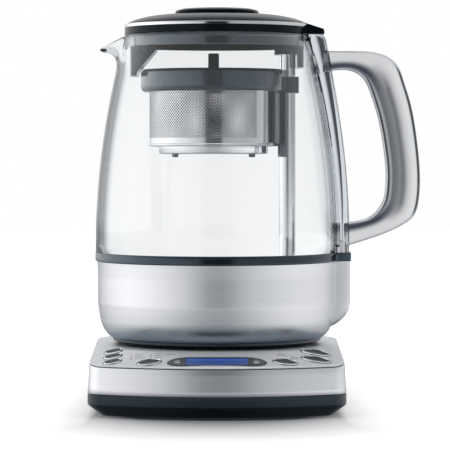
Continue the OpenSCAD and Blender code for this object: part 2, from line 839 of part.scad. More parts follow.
// The sliding carriage: a collar round the post, a leg behind the can and a shoe
module carriage() {
    color([0.3, 0.33, 0.36]) placed() difference() {
        union() {
            block([40, -collar_half_y, collar_low_z], [post_x + collar_half_y, collar_half_y, collar_top_z]);
            intersection() {
                translate([basket_x, 0, leg_low_z]) cylinder(h = ring_low_z - leg_low_z, r = can_r + 3);
                translate([basket_x, 0, leg_low_z]) linear_extrude(height = 60)
                    polygon([[0, 0], [60, -31.2], [60, 31.2]]);
            }
            translate([post_x, 0, shoe_low_z]) cylinder(h = collar_low_z - shoe_low_z + eps, r = post_r + 1.6);
        }
        can_room();
        translate([basket_x, 0, ring_low_z - gap]) cylinder(h = 30, r = can_r + 0.6);
        translate([post_x, 0, 150]) cylinder(h = 100, r = post_r + running);
        block([post_x - 1, -20, shoe_low_z - cut], [post_x + 20, 20, collar_low_z]);
        for (y = [-1, 1]) translate([post_x + 5, y * 5.6, 215.5]) cylinder(h = 6, r = 1.5, $fn = small_fn);
    }
}

module carriage_magnets() {
    color([0.35, 0.35, 0.38]) placed() for (y = [-1, 1])
        translate([post_x + 5, y * 5.6, 215.6]) cylinder(h = 5.8, r = 1.45, $fn = small_fn);
}

// The slate-grey ring that the can hangs in, open where the collar goes
module basket_ring() {
    color([0.36, 0.38, 0.41]) placed() difference() {
        translate([basket_x, 0, 0]) rotate_extrude() polygon([
            [can_r, ring_low_z], [ring_r - 2, ring_low_z], [ring_r - 0.6, ring_low_z + 1.2],
            [ring_r, ring_low_z + 3], [ring_r, ring_top_z], [ring_r - 1.6, ring_lip_z],
            [basket_lid_r + 1.6, ring_lip_z], [basket_lid_r + 0.6, basket_lid_z - 0.1],
            [ring_seat_r, basket_lid_z - 0.1], [ring_seat_r, ring_low_z + 2.4],
            [can_r, ring_low_z + 2.4]]);
        block([38, -collar_half_y - gap, 200], [60, collar_half_y + gap, collar_top_z + gap]);
        translate([post_x, 0, 200]) cylinder(h = 40, r = post_r + 0.5);
    }
}

module basket_mesh() {
    color([0.72, 0.73, 0.75]) placed() translate([basket_x, 0, 0])
        ring(can_r, can_r - can_wall, can_low_z, ring_low_z + 2.4);
}

module basket_floor() {
    color([0.75, 0.76, 0.78]) placed() translate([basket_x, 0, 0]) {
        ring(can_r - can_wall, 36, can_low_z, can_low_z + 0.8);
        translate([0, 0, 171.6]) cylinder(h = 0.8, r = 36.4);
        ring(37, 36, 171.6, can_low_z + 0.8);
        for (a = [30, 150, 215, 325]) rotate([0, 0, a]) translate([31, 0, 169.4])
            cylinder(h = 2.3, r = 1.9, $fn = small_fn);
    }
}

module basket_lid() {
    color([0.3, 0.32, 0.35]) placed() translate([basket_x, 0, 0]) {
        translate([0, 0, basket_lid_z]) cylinder(h = 2.2, r = basket_lid_r);
        translate([0, 0, basket_lid_z + 2]) cylinder(h = 1.6, r = 7);
        translate([0, 0, basket_lid_z + 2]) cylinder(h = peg_top_z - basket_lid_z - 2.6, r = peg_r, $fn = 48);
        translate([0, 0, peg_top_z - 0.8]) cylinder(h = 0.8, r1 = peg_r, r2 = peg_r - 0.8, $fn = 48);
    }
}

// ---- lid ---------------------------------------------------------------------

// The cover's dome from its shoulder up to the flat under the knob
function dome_line() = cubic([lid_r - 0.4, 258.6], [60.5, 261.4], [50, 264.6], [38, 265.6], 12);

module lid_cover() {
    color([0.16, 0.18, 0.2]) placed() difference() {
        union() {
            turned(concat([[lid_r, lid_low_z], [lid_r, trim_low_z], [lid_r - trim_t, trim_low_z]],
                dome_line()));
            intersection() {
                block([40, -tongue_half_y, lid_low_z], [tongue_x, tongue_half_y, 261]);
                rotate([90, 0, 0]) linear_extrude(height = 60, center = true) polygon(
                    [[40, lid_low_z], [tongue_x, lid_low_z], [tongue_x, 254.8], [71.6, 256],
                        [58, 260.4], [40, 260.4]]);
            }
        }
        translate([0, 0, lid_low_z - cut]) cylinder(h = 4.6, r = 57);
        translate([0, 0, lid_low_z + 3]) cylinder(h = 9, r1 = 57, r2 = 30);
    }
}

// The bright ring on the lid's shoulder
module lid_trim_ring() {
    under = [for (i = [0:2]) dome_line()[i]];
    color([0.75, 0.77, 0.79]) placed() difference() {
        rotate_extrude() polygon(concat([[lid_r - trim_t, trim_low_z + eps]], under,
            reversed(moved(under, [trim_t, 0.3])), [[lid_r, trim_low_z + eps]]));
        block([40, -tongue_half_y - gap, 250], [80, tongue_half_y + gap, 270]);
    }
}

module lid_knob() {
    color([0.06, 0.07, 0.08]) placed() turned(concat([[24, 265.62], [knob_r - 1, 266.2]],
        cubic([knob_r, 267], [knob_r, 268.6], [24, 270], [12, knob_top_z], 10)));
}

module lid_seal() {
    color([0.3, 0.32, 0.34]) placed() rotate_extrude() polygon([[56.6, 250], [skirt_r, 250],
        [59.5, 251], [59.5, 251.6], [skirt_r, 252.2], [56.6, 252.2]]);
}

// The skirt in the jug's mouth, with the pouring filter's frame and the cap over the post
module lid_skirt() {
    color([0.33, 0.36, 0.39, 0.8]) placed() difference() {
        union() {
            ring(skirt_r, skirt_r - skirt_wall, skirt_low_z, 250);
            ring(skirt_r, skirt_r - 4.2, 249, 250);
            ring(skirt_r - 2.6, skirt_r - 4.2, 249, 256);
            intersection() {
                translate([0, 0, 220]) cylinder(h = 40, r = skirt_r);
                rotate([90, 0, 0]) linear_extrude(height = 30, center = true)
                    polygon([[-60, 224.2], [-53.8, 224.2], [-53.2, 227], [-41, 241.5], [-41, 249], [-60, 249]]);
            }
            intersection() {
                translate([0, 0, 220]) cylinder(h = 40, r = skirt_r);
                union() {
                    block([39, -9, 238.7], [60, 9, 249]);
                    block([54, -14, 230], [60, 14, 249]);
                }
            }
        }
        intersection() {
            translate([0, 0, 220]) cylinder(h = 29, r = skirt_r - 1.6);
            rotate([90, 0, 0]) linear_extrude(height = 26, center = true)
                polygon([[-60, 226], [-55, 226], [-54.6, 228.2], [-43, 242], [-43, 252], [-60, 252]]);
        }
        rotate([0, 0, 180]) block([50, -8, 229], [70, 8, 243]);
        translate([post_x, 0, 200]) cylinder(h = 41, r = post_r + 0.5);
    }
}

// The perforated sheet that closes the window in the pouring filter's frame
module lid_filter_mesh() {
    color([0.7, 0.71, 0.72]) placed() intersection() {
        ring(skirt_r - 0.4, skirt_r - 1, 229, 243);
        block([-70, -8, 229], [-50, 8, 243]);
    }
}

base_tray();
base_band();
base_top_panel();
base_feet();
base_screws();
connector_hub();
connector_contacts();
display_bezel();
display_window();
display_module();
control_board();
key_switches();
status_leds();
power_board();
power_relay();
transformer();
cord_gland();
button_surrounds();
button_clock();
button_timer();
button_auto_start();
button_mode();
button_minus();
button_plus();
button_menu();
button_brew();
button_heat();
swivel_ring();
jug_foot();
jug_shell();
jug_band();
glass_jug();
floor_seal();
heater_plate();
heating_element();
temperature_sensor();
connector_socket();
handle();
handle_spine();
spine_screws();
post_tube();
drive_bracket();
lift_motor();
motor_pinion();
lift_screw();
lift_nut();
nut_magnets();
carriage();
carriage_magnets();
basket_ring();
basket_mesh();
basket_floor();
basket_lid();
lid_cover();
lid_trim_ring();
lid_knob();
lid_seal();
lid_skirt();
lid_filter_mesh();
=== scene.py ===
"""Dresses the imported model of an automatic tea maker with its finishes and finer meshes."""
import json
import math

import bmesh
import bpy
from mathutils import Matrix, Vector


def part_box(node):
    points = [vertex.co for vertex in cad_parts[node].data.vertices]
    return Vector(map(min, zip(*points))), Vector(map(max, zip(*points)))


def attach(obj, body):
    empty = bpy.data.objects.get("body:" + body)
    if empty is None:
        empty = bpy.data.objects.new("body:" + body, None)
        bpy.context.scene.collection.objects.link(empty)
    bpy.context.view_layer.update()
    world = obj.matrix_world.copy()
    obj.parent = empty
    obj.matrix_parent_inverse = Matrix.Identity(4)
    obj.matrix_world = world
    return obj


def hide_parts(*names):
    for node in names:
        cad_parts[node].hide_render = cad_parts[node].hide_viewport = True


bl_info = {
    "name": "Automatic tea maker",
    "version": (1, 0, 0),
    "blender": (4, 5, 0),
    "location": "3D View > Sidebar > Tea maker",
    "description": "Builds a glass tea maker on its heated control base",
    "category": "Add Mesh",
}

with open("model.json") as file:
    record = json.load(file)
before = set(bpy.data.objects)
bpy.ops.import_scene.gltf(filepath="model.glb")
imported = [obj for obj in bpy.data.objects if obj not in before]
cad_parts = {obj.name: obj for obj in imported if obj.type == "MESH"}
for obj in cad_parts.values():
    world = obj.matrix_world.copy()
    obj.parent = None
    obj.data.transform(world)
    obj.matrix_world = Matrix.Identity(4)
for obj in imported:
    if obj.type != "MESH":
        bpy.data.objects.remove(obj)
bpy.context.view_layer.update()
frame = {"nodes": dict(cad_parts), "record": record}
MM = 0.001


def middle(node):
    """The middle of a node's box, in metres."""
    low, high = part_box(node)
    return (low + high) / 2


def top_of(node):
    """The height of a node's highest point, in millimetres."""
    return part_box(node)[1].z / MM


def depth_of(node):
    """How far a node reaches from front to back, in metres."""
    low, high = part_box(node)
    return high.y - low.y


# The jug's own axis is x = 0, y = 0 in every outline below, and these say where it stands
AXIS = middle("jug_foot")
BASKET_X = (middle("basket_mesh").x - AXIS.x) / MM
POST_X = (middle("post_tube").x - AXIS.x) / MM
TRAY_LOW, TRAY_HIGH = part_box("base_tray")


# ---- sizes and colours a user may change ----


def size(name, description, default):
    """A length, in metres."""
    return bpy.props.FloatProperty(
        name=name, description=description, default=default, min=0, unit="LENGTH", precision=4
    )


def colour(name, description, default):
    """A base colour, in linear light."""
    return bpy.props.FloatVectorProperty(
        name=name, description=description, default=default, subtype="COLOR", size=3, min=0, max=1
    )


class TeaMakerSizes(bpy.types.PropertyGroup):
    base_width: size("Base width", "Width of the base", TRAY_HIGH.x - TRAY_LOW.x)
    front_radius: size("Front radius", "Radius of the base's bowed front", 0.16)
    glass_wall: size("Glass wall", "Thickness of the jug's glass", 0.0028)
    handle_depth: size("Handle depth", "Handle from front to back", depth_of("handle"))
    hole_pitch: size("Hole pitch", "Distance between the holes of the basket", 0.00197)


class TeaMakerColours(bpy.types.PropertyGroup):
    steel: colour("Steel", "Brushed steel of the base and the shell", (0.74, 0.75, 0.77))
    panel: colour("Panel", "Brushed steel of the top panel", (0.96, 0.97, 0.99))
    bright: colour("Bright steel", "Polished post, basket and key rims", (0.78, 0.79, 0.81))
    black: colour("Black", "Tray, foot and knob", (0.005, 0.008, 0.011))
    charcoal: colour("Charcoal", "Lid cover and jug band", (0.009, 0.012, 0.015))
    slate: colour("Slate", "Basket ring and carriage", (0.036, 0.049, 0.060))
    smoke: colour("Smoke", "Skirt under the lid's cover", (0.018, 0.025, 0.032))
    display: colour("Display", "Lit display", (0.016, 0.060, 0.30))
    lamp: colour("Lamp", "Lit status lamp", (0.75, 0.05, 0.04))


def sizes():
    return bpy.context.scene.tea_maker_sizes


def colours():
    return bpy.context.scene.tea_maker_colours


# ---- shader groups ----


def node_group(name, inputs, outputs):
    """A new shader node group with the given sockets, and its input and output nodes."""
    group = bpy.data.node_groups.new(name, "ShaderNodeTree")
    for label, kind, default in inputs:
        socket = group.interface.new_socket(label, in_out="INPUT", socket_type=kind)
        socket.default_value = default
    for label, kind in outputs:
        group.interface.new_socket(label, in_out="OUTPUT", socket_type=kind)
    return group, group.nodes.new("NodeGroupInput"), group.nodes.new("NodeGroupOutput")


def feed(tree, socket, value):
    """Links a socket to another one, or sets its value."""
    if isinstance(value, bpy.types.NodeSocket):
        tree.links.new(value, socket)
    else:
        socket.default_value = value


def fill(tree, node, **values):
    """Sets or links a node's inputs by name, with _ for a space."""
    for name, value in values.items():
        feed(tree, node.inputs[name.replace("_", " ")], value)


def math_node(tree, operation, a, b=None):
    """A Math node of one or two values or sockets."""
    node = tree.nodes.new("ShaderNodeMath")
    node.operation = operation
    feed(tree, node.inputs[0], a)
    if b is not None:
        feed(tree, node.inputs[1], b)
    return node.outputs[0]


def vector_math(tree, operation, vector, other):
    """A Vector Math node of a vector and a second one, or a scale."""
    node = tree.nodes.new("ShaderNodeVectorMath")
    node.operation = operation
    feed(tree, node.inputs[0], vector)
    feed(tree, node.inputs["Scale" if operation == "SCALE" else 1], other)
    return node.outputs[0]


def noise(tree, stretch, detail, rough=0.6):
    """Noise in object space, stretched by a vector or the socket of one."""
    coords = tree.nodes.new("ShaderNodeTexCoord")
    texture = tree.nodes.new("ShaderNodeTexNoise")
    stretched = vector_math(tree, "MULTIPLY", coords.outputs["Object"], stretch)
    fill(tree, texture, Vector=stretched, Scale=1, Detail=detail, Roughness=rough)
    return texture.outputs[0]


def mix_colours(tree, factor, a, b):
    """A colour between a and b."""
    node = tree.nodes.new("ShaderNodeMix")
    node.data_type = "RGBA"
    for socket, value in ((0, factor), (6, a), (7, b)):
        feed(tree, node.inputs[socket], value)
    return node.outputs[2]


def colour_ramp(tree, value, stops):
    """A colour that follows a value through (place, colour) stops."""
    ramp = tree.nodes.new("ShaderNodeValToRGB")
    tree.links.new(value, ramp.inputs[0])
    for i, (place, rgb) in enumerate(stops):
        stop = ramp.color_ramp.elements[i] if i < 2 else ramp.color_ramp.elements.new(place)
        stop.position = place
        stop.color = (*rgb, 1)
    return ramp.outputs[0]


def ramp_of(tree, value, stops):
    """A grey level that follows a value through (place, level) stops."""
    return colour_ramp(tree, value, [(place, (level, level, level)) for place, level in stops])


COLOUR, VECTOR, NUMBER = "NodeSocketColor", "NodeSocketVector", "NodeSocketFloat"
SURFACE = [("Colour", COLOUR), ("Roughness", NUMBER), ("Height", NUMBER)]


def brushed_group():
    """Fine lines left by a belt: they vary colour, roughness and height across their direction."""
    inputs = [("Colour", COLOUR, (0.6, 0.6, 0.6, 1)), ("Stretch", VECTOR, (4, 4, 900))]
    inputs += [("Contrast", NUMBER, 0.1), ("Roughness", NUMBER, 0.3)]
    group, start, end = node_group("Brushed lines", inputs, SURFACE)
    lines = noise(group, start.outputs["Stretch"], 5, 0.7)
    centred = math_node(group, "SUBTRACT", lines, 0.5)
    swing = math_node(group, "MULTIPLY", centred, start.outputs["Contrast"])
    level = math_node(group, "ADD", math_node(group, "MULTIPLY", swing, 2.0), 1.0)
    shade = vector_math(group, "SCALE", start.outputs["Colour"], level)
    rough = math_node(group, "ADD", start.outputs["Roughness"], swing)
    fill(group, end, Colour=shade, Roughness=rough, Height=lines)
    return group


def moulded_group():
    """Moulded plastic or rubber: a faint cloud in the colour, a fine skin and uneven gloss."""
    inputs = [("Colour", COLOUR, (0.1, 0.1, 0.1, 1)), ("Variation", NUMBER, 0.1)]
    inputs += [("Grain size", NUMBER, 900.0), ("Roughness", NUMBER, 0.3)]
    group, start, end = node_group("Moulded skin", inputs, SURFACE)
    cloud = math_node(group, "SUBTRACT", noise(group, (35, 35, 35), 3), 0.5)
    swing = math_node(group, "MULTIPLY", cloud, start.outputs["Variation"])
    level = math_node(group, "ADD", swing, 1.0)
    shade = vector_math(group, "SCALE", start.outputs["Colour"], level)
    rough = math_node(group, "ADD", start.outputs["Roughness"], swing)
    grain = group.nodes.new("ShaderNodeCombineXYZ")
    for socket in grain.inputs:
        feed(group, socket, start.outputs["Grain size"])
    fill(group, end, Colour=shade, Roughness=rough, Height=noise(group, grain.outputs[0], 2))
    return group


def marks_group():
    """Faint handling marks: a mask of soft smears that only shows in the gloss."""
    inputs = [("Roughness", NUMBER, 0.05), ("Amount", NUMBER, 0.05)]
    group, start, end = node_group("Handling marks", inputs, [("Roughness", NUMBER)])
    smear = noise(group, (40, 40, 22), 4)
    raised = math_node(group, "MAXIMUM", math_node(group, "SUBTRACT", smear, 0.55), 0.0)
    more = math_node(group, "MULTIPLY", raised, start.outputs["Amount"])
    more = math_node(group, "MULTIPLY", more, 4.0)
    fill(group, end, Roughness=math_node(group, "ADD", start.outputs["Roughness"], more))
    return group


def group_node(tree, group, **values):
    """Places a group in a material, with its own values."""
    node = tree.nodes.new("ShaderNodeGroup")
    node.node_tree = group
    fill(tree, node, **values)
    return node


# ---- materials ----


def new_material(name):
    """An empty node material with its Principled BSDF."""
    material = bpy.data.materials.new(name)
    material.use_nodes = True
    return material, material.node_tree, material.node_tree.nodes["Principled BSDF"]


def bump(tree, shader, height, strength):
    """Raises a surface by a height map, by 0.2 mm at most."""
    node = tree.nodes.new("ShaderNodeBump")
    fill(tree, node, Height=height, Strength=strength, Distance=0.2 * MM)
    fill(tree, shader, Normal=node.outputs[0])


# Tint of the light that dark plastic throws back, and the painted tint of the panel and lit parts
# in reflections
COOL_GLOSS = (0.62, 0.82, 1.0, 1)
PAINTED_REFLECTION_TINT = (0.82, 0.95, 1.08)


def painted_reflection_shade(tree, colour_socket, share):
    """A colour with a painted reflection: darker and cooler only for glossy rays, so other metal
    mirrors it dimmer than it is.
    """
    path = tree.nodes.new("ShaderNodeLightPath")
    darker = vector_math(tree, "MULTIPLY", colour_socket, [share * tint for tint in PAINTED_REFLECTION_TINT])
    return mix_colours(tree, path.outputs["Is Glossy Ray"], colour_socket, darker)


def brushed(name, rgb, stretch, rough, contrast, depth, metal=1.0, mirrored=1.0):
    """Brushed metal, whose lines are thin along the large parts of stretch. mirrored is the share
    of its colour that other metal mirrors: below 1, its reflection is painted darker."""
    material, tree, shader = new_material(name)
    values = {"Colour": (*rgb, 1), "Stretch": stretch, "Contrast": contrast, "Roughness": rough}
    shade, roughness, height = group_node(tree, GROUPS["brushed"], **values).outputs
    # below 1, a painted reflection: other metal mirrors this colour darker and cooler
    if mirrored < 1:
        shade = painted_reflection_shade(tree, shade, mirrored)
    fill(tree, shader, Base_Color=shade, Roughness=roughness, Metallic=metal)
    bump(tree, shader, height, depth)
    return material


def moulded(name, rgb, rough, variation, grain, depth, coat=0.0, gloss=0.5):
    """Moulded plastic, rubber or lacquer."""
    material, tree, shader = new_material(name)
    values = {"Colour": (*rgb, 1), "Variation": variation, "Grain size": grain, "Roughness": rough}
    shade, roughness, height = group_node(tree, GROUPS["moulded"], **values).outputs
    fill(tree, shader, Base_Color=shade, Roughness=roughness, Specular_IOR_Level=gloss)
    fill(tree, shader, Specular_Tint=COOL_GLOSS, Coat_Weight=coat, Coat_Roughness=0.04)
    bump(tree, shader, height, depth)
    return material


def clear(name, rgb, rough, ior, amount, absorbed, density):
    """Clear glass or plastic that darkens where the light's way through it is long."""
    material, tree, shader = new_material(name)
    marks = group_node(tree, GROUPS["marks"], Roughness=rough, Amount=amount)
    fill(tree, shader, Base_Color=(*rgb, 1), Roughness=marks.outputs[0])
    fill(tree, shader, IOR=ior, Transmission_Weight=1)
    volume = tree.nodes.new("ShaderNodeVolumeAbsorption")
    fill(tree, volume, Color=(*absorbed, 1), Density=density)
    fill(tree, tree.nodes["Material Output"], Volume=volume.outputs[0])
    return material


# How much of the handle is grip, by the place along it
GRIP_PLACE = ((0.20, 0.0), (0.36, 1.0), (0.66, 1.0), (0.78, 0.0))


def clear_with_painted_bands(name, ior, grip, arms):
    """Clear plastic with painted light and dark bands in place of what it mirrors and bends: they
    follow the mesh's own share across its width, in (place, level) stops: one set for the grip and
    one for the arms, by the mesh's share along its length."""
    material = clear(name, (1, 1, 1), 0.01, ior, 0.01, (0.5, 0.56, 0.62), 3)
    tree = material.node_tree
    across, along = (tree.nodes.new("ShaderNodeAttribute") for _ in range(2))
    across.attribute_name, along.attribute_name = "across", "along"
    is_grip = ramp_of(tree, along.outputs["Fac"], GRIP_PLACE)
    arm_level, grip_level = (ramp_of(tree, across.outputs["Fac"], stops) for stops in (arms, grip))
    level = mix_colours(tree, is_grip, arm_level, grip_level)
    # painted light and dark bands, in place of what the clear handle mirrors and bends
    tint = mix_colours(tree, level, (-0.012, 0.008, 0.03, 1), (1, 1, 1, 1))
    fill(tree, tree.nodes["Principled BSDF"], Base_Color=tint)
    return material


def polished(name, rgb, rough):
    """Polished metal with faint handling marks."""
    material, tree, shader = new_material(name)
    marks = group_node(tree, GROUPS["marks"], Roughness=rough, Amount=0.1)
    fill(tree, shader, Base_Color=(*rgb, 1), Roughness=marks.outputs[0], Metallic=1)
    return material


def lit(name, rgb, strength):
    """A backlit or glowing plastic with a faint cloud in its brightness. Its reflections are
    painted: darker, cooler and without the glow.
    """
    material, tree, shader = new_material(name)
    cloud = noise(tree, (60, 60, 60), 2)
    dim, bright = ((*[min(1, c * share) for c in rgb], 1) for share in (0.85, 1.15))
    shade = mix_colours(tree, cloud, dim, bright)
    # a painted reflection: gloss sees no glow and a colour painted darker
    path = tree.nodes.new("ShaderNodeLightPath")
    direct = math_node(tree, "SUBTRACT", 1.0, path.outputs["Is Glossy Ray"])
    glow = math_node(tree, "MULTIPLY", direct, strength)
    fill(tree, shader, Base_Color=painted_reflection_shade(tree, shade, 0.2), Roughness=0.12)
    fill(tree, shader, Emission_Color=shade, Emission_Strength=glow)
    return material


GROUPS = {}
FINISH = {}


def make_finishes():
    """Builds the shader groups and then one material for each finish."""
    c = colours()
    GROUPS.update(brushed=brushed_group(), moulded=moulded_group(), marks=marks_group())
    FINISH.update(
        brushed_steel=brushed("Brushed steel", c.steel, (4, 4, 1100), 0.30, 0.12, 0.10),
        # the panel's reflection in other metal is painted darker: 0.42 of its colour
        brushed_panel=brushed("Brushed panel", c.panel, (5, 900, 900), 0.45, 0.12, 0.08, 0.5, 0.42),
        bright_steel=polished("Bright steel", c.bright, 0.10),
        key_chrome=polished("Key chrome", c.bright, 0.07),
        key_steel=polished("Round key steel", (0.30, 0.33, 0.36), 0.10),
        key_dark=brushed("Dark key metal", (0.10, 0.105, 0.11), (300, 300, 300), 0.22, 0.1, 0.03),
        bezel=moulded("Bezel", (0.045, 0.050, 0.048), 0.25, 0.15, 2500, 0.05, 0.4),
        black_plastic=moulded("Black gloss plastic", c.black, 0.11, 0.1, 700, 0.02, 0.0, 0.55),
        charcoal_plastic=moulded("Charcoal plastic", c.charcoal, 0.14, 0.1, 700, 0.02, 0.0, 0.12),
        band_plastic=moulded("Band plastic", (0.016, 0.023, 0.030), 0.14, 0.1, 700, 0.02, 0.0, 1.0),
        slate_plastic=moulded("Slate plastic", c.slate, 0.14, 0.10, 1200, 0.01, 0.8, 1.0),
        smoke_plastic=moulded("Smoke plastic", c.smoke, 0.10, 0.10, 600, 0.003, 1.0, 1.0),
        white_plastic=moulded("White nylon", (0.70, 0.69, 0.65), 0.5, 0.05, 1500, 0.05),
        clear_glass=clear("Clear glass", (1, 1, 1), 0.0, 1.47, 0.0, (0.30, 0.42, 0.50), 22),
        clear_plastic=clear(
            "Clear plastic", (0.97, 0.98, 0.99), 0.01, 1.49, 0.01, (0.30, 0.38, 0.46), 14
        ),
        handle_clear=clear_with_painted_bands("Clear handle", 1.49, GRIP_PAINTED_BANDS, ARM_PAINTED_BANDS),
        display_blue=lit("Blue display", c.display, 0.36),
        display_line=lit("Lit display line", (0.10, 0.18, 0.50), 0.5),
        rubber=moulded("Rubber", (0.02, 0.02, 0.02), 0.7, 0.2, 1500, 0.2),
        seal=moulded("Silicone seal", (0.03, 0.036, 0.04), 0.4, 0.1, 1200, 0.05),
        circuit_board=moulded("Circuit board", (0.02, 0.10, 0.05), 0.35, 0.3, 800, 0.1),
        brass=polished("Brass contacts", (0.75, 0.52, 0.20), 0.2),
        magnet=moulded("Magnet", (0.10, 0.10, 0.11), 0.45, 0.2, 1500, 0.2),
        # a painted glow, not a lamp: the light seen through the filter's holes
        filter_light=lit("Painted glow through the filter", (0.85, 0.86, 0.88), 1.0),
        led_red=lit("Lit lamp", c.lamp, 0.8),
        lamp_off=moulded("Unlit lamp", (0.07, 0.07, 0.08), 0.3, 0.1, 1500, 0.02),
        # a dark sheet of painted shade, for the inside of the basket
        shaded_steel=brushed("Painted shade steel", (0.03, 0.033, 0.036), (300, 300, 300), 0.4, 0.1, 0.02),
        steel_plate=brushed("Ground steel", (0.62, 0.62, 0.64), (500, 4, 500), 0.3, 0.12, 0.08),
    )


# ---- mesh tools: outlines are in millimetres about the jug's axis ----


def to_scene(point):
    """A point in millimetres about the jug's axis, in the frame's metres."""
    return (AXIS.x + point[0] * MM, AXIS.y + point[1] * MM, point[2] * MM)


def finish_mesh(mesh, crease=32):
    """Merges doubles, turns the faces outwards and shades them smooth, with sharp edges kept."""
    bm = bmesh.new()
    bm.from_mesh(mesh)
    bmesh.ops.remove_doubles(bm, verts=bm.verts, dist=2e-6)
    bmesh.ops.dissolve_degenerate(bm, edges=bm.edges, dist=1e-6)
    bmesh.ops.recalc_face_normals(bm, faces=bm.faces)
    bm.to_mesh(mesh)
    bm.free()
    mesh.shade_smooth()
    mesh.set_sharp_from_angle(angle=math.radians(crease))
    return mesh


def grid_mesh(name, rings, closed=False, capped=True, crease=32, shares=None):
    """A skin over a list of rings of points. closed joins the last ring to the first, and capped
    closes the first and the last ring. shares gives each point of a ring its place across the
    ring, from 0 to 1: it is kept for the materials, with the place along."""
    count = len(rings[0])
    points = [to_scene(p) for ring in rings for p in ring]
    faces = []
    for i in range(len(rings) if closed else len(rings) - 1):
        j = (i + 1) % len(rings)
        for k in range(count):
            m = (k + 1) % count
            faces.append((i * count + k, i * count + m, j * count + m, j * count + k))
    if capped and not closed:
        faces.append(tuple(range(count - 1, -1, -1)))
        faces.append(tuple((len(rings) - 1) * count + k for k in range(count)))
    mesh = bpy.data.meshes.new(name)
    mesh.from_pydata(points, [], faces)
    if shares:
        across = mesh.attributes.new("across", "FLOAT", "POINT")
        along = mesh.attributes.new("along", "FLOAT", "POINT")
        for i in range(len(points)):
            across.data[i].value = shares[i % count]
            along.data[i].value = (i // count) / (len(rings) - 1)
    return finish_mesh(mesh, crease)


def turned(line, angle, centre=(0, 0)):
    """A section of (radius, height) turned to an angle about a vertical axis."""
    c, s = math.cos(angle), math.sin(angle)
    return [(centre[0] + r * c, centre[1] + r * s, z) for r, z in line]


def lathe(name, line, steps=160, centre=(0, 0)):
    """A closed outline of (radius, height) turned about a vertical axis."""
    rings = [turned(line, math.tau * k / steps, centre) for k in range(steps)]
    return grid_mesh(name, rings, closed=True)


def at_level(outline, z):
    """A plan outline as a ring at a height."""
    return [(x, y, z) for x, y in outline]


def prism(name, outline, z0, z1):
    """An upright prism of a plan outline."""
    return grid_mesh(name, [at_level(outline, z) for z in (z0, z1)])


def slab(name, outline, y0, y1):
    """A side-view outline of (x, z) given a width from y0 to y1."""
    return grid_mesh(name, [[(x, y, z) for x, z in outline] for y in (y0, y1)])


def rounded(outline, radius, steps=4):
    """A closed outline with each corner cut back by radius and bowed."""
    out = []
    for i, corner in enumerate(outline):
        b = Vector(corner)
        a, c = Vector(outline[i - 1]), Vector(outline[(i + 1) % len(outline)])
        start = b + (a - b) * min(0.45, radius / max((a - b).length, 1e-6))
        end = b + (c - b) * min(0.45, radius / max((c - b).length, 1e-6))
        for k in range(steps + 1):
            t = k / steps
            out.append(tuple(start * (1 - t) ** 2 + 2 * b * t * (1 - t) + end * t**2))
    return out


def cubic(p0, p1, p2, p3, steps):
    """Points of a cubic curve."""
    out = []
    for i in range(steps + 1):
        t = i / steps
        s = 1 - t
        each = zip(p0, p1, p2, p3)
        out.append(
            tuple(a * s**3 + 3 * b * t * s**2 + 3 * c * t**2 * s + d * t**3 for a, b, c, d in each)
        )
    return out


def through(points, u):
    """A point of the smooth curve through a list of points, at u from 0 to 1."""
    last = len(points) - 1
    i = min(int(u * last), last - 1)
    t = u * last - i
    near = (points[max(i - 1, 0)], points[i], points[i + 1], points[min(i + 2, last)])
    out = []
    for p, q, r, s in zip(*near):
        square, cube = 2 * p - 5 * q + 4 * r - s, 3 * q - p - 3 * r + s
        out.append(0.5 * (2 * q + (r - p) * t + square * t**2 + cube * t**3))
    return tuple(out)


def at_height(line, z):
    """The radius of a rising outline of (radius, height) at a height."""
    for (r0, z0), (r1, z1) in zip(line, line[1:]):
        if z <= z1:
            return r0 + (r1 - r0) * max(0, z - z0) / max(z1 - z0, 1e-6)
    return line[-1][0]


def arc(cx, cy, r, a0, a1, steps):
    """Points of an arc, angles in degrees."""
    turn = [math.radians(a0 + (a1 - a0) * i / steps) for i in range(steps + 1)]
    return [(cx + r * math.cos(a), cy + r * math.sin(a)) for a in turn]


def oval(x, y, a, b, steps=48):
    """An ellipse in plan."""
    turn = [math.tau * i / steps for i in range(steps)]
    return [(x + a * math.cos(t), y + b * math.sin(t)) for t in turn]


def rectangle(x0, y0, x1, y1):
    """A rectangle in plan."""
    return [(x0, y0), (x1, y0), (x1, y1), (x0, y1)]


def joined(name, parts):
    """One mesh of several."""
    whole = bmesh.new()
    for part in parts:
        whole.from_mesh(part)
    mesh = bpy.data.meshes.new(name)
    whole.to_mesh(mesh)
    whole.free()
    return mesh


def add_piece(mesh, body, slot, node=None, finish=None):
    """Links a mesh as a piece of the same name that rides on a body. It takes its slot's finish
    or another one, and may stand for a CAD node."""
    piece = bpy.data.objects.new(mesh.name, mesh)
    bpy.context.scene.collection.objects.link(piece)
    mesh.materials.clear()
    mesh.materials.append(FINISH[finish or slot])
    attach(piece, body)
    if node:
        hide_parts(node)
    return piece


def soften(piece, width, segments, angle):
    """Rounds a piece's edges that are sharper than an angle, by a width in millimetres."""
    modifier = piece.modifiers.new("Rounded edges", "BEVEL")
    modifier.width = width * MM
    modifier.segments = segments
    modifier.limit_method = "ANGLE"
    modifier.angle_limit = math.radians(angle)
    modifier.harden_normals = False


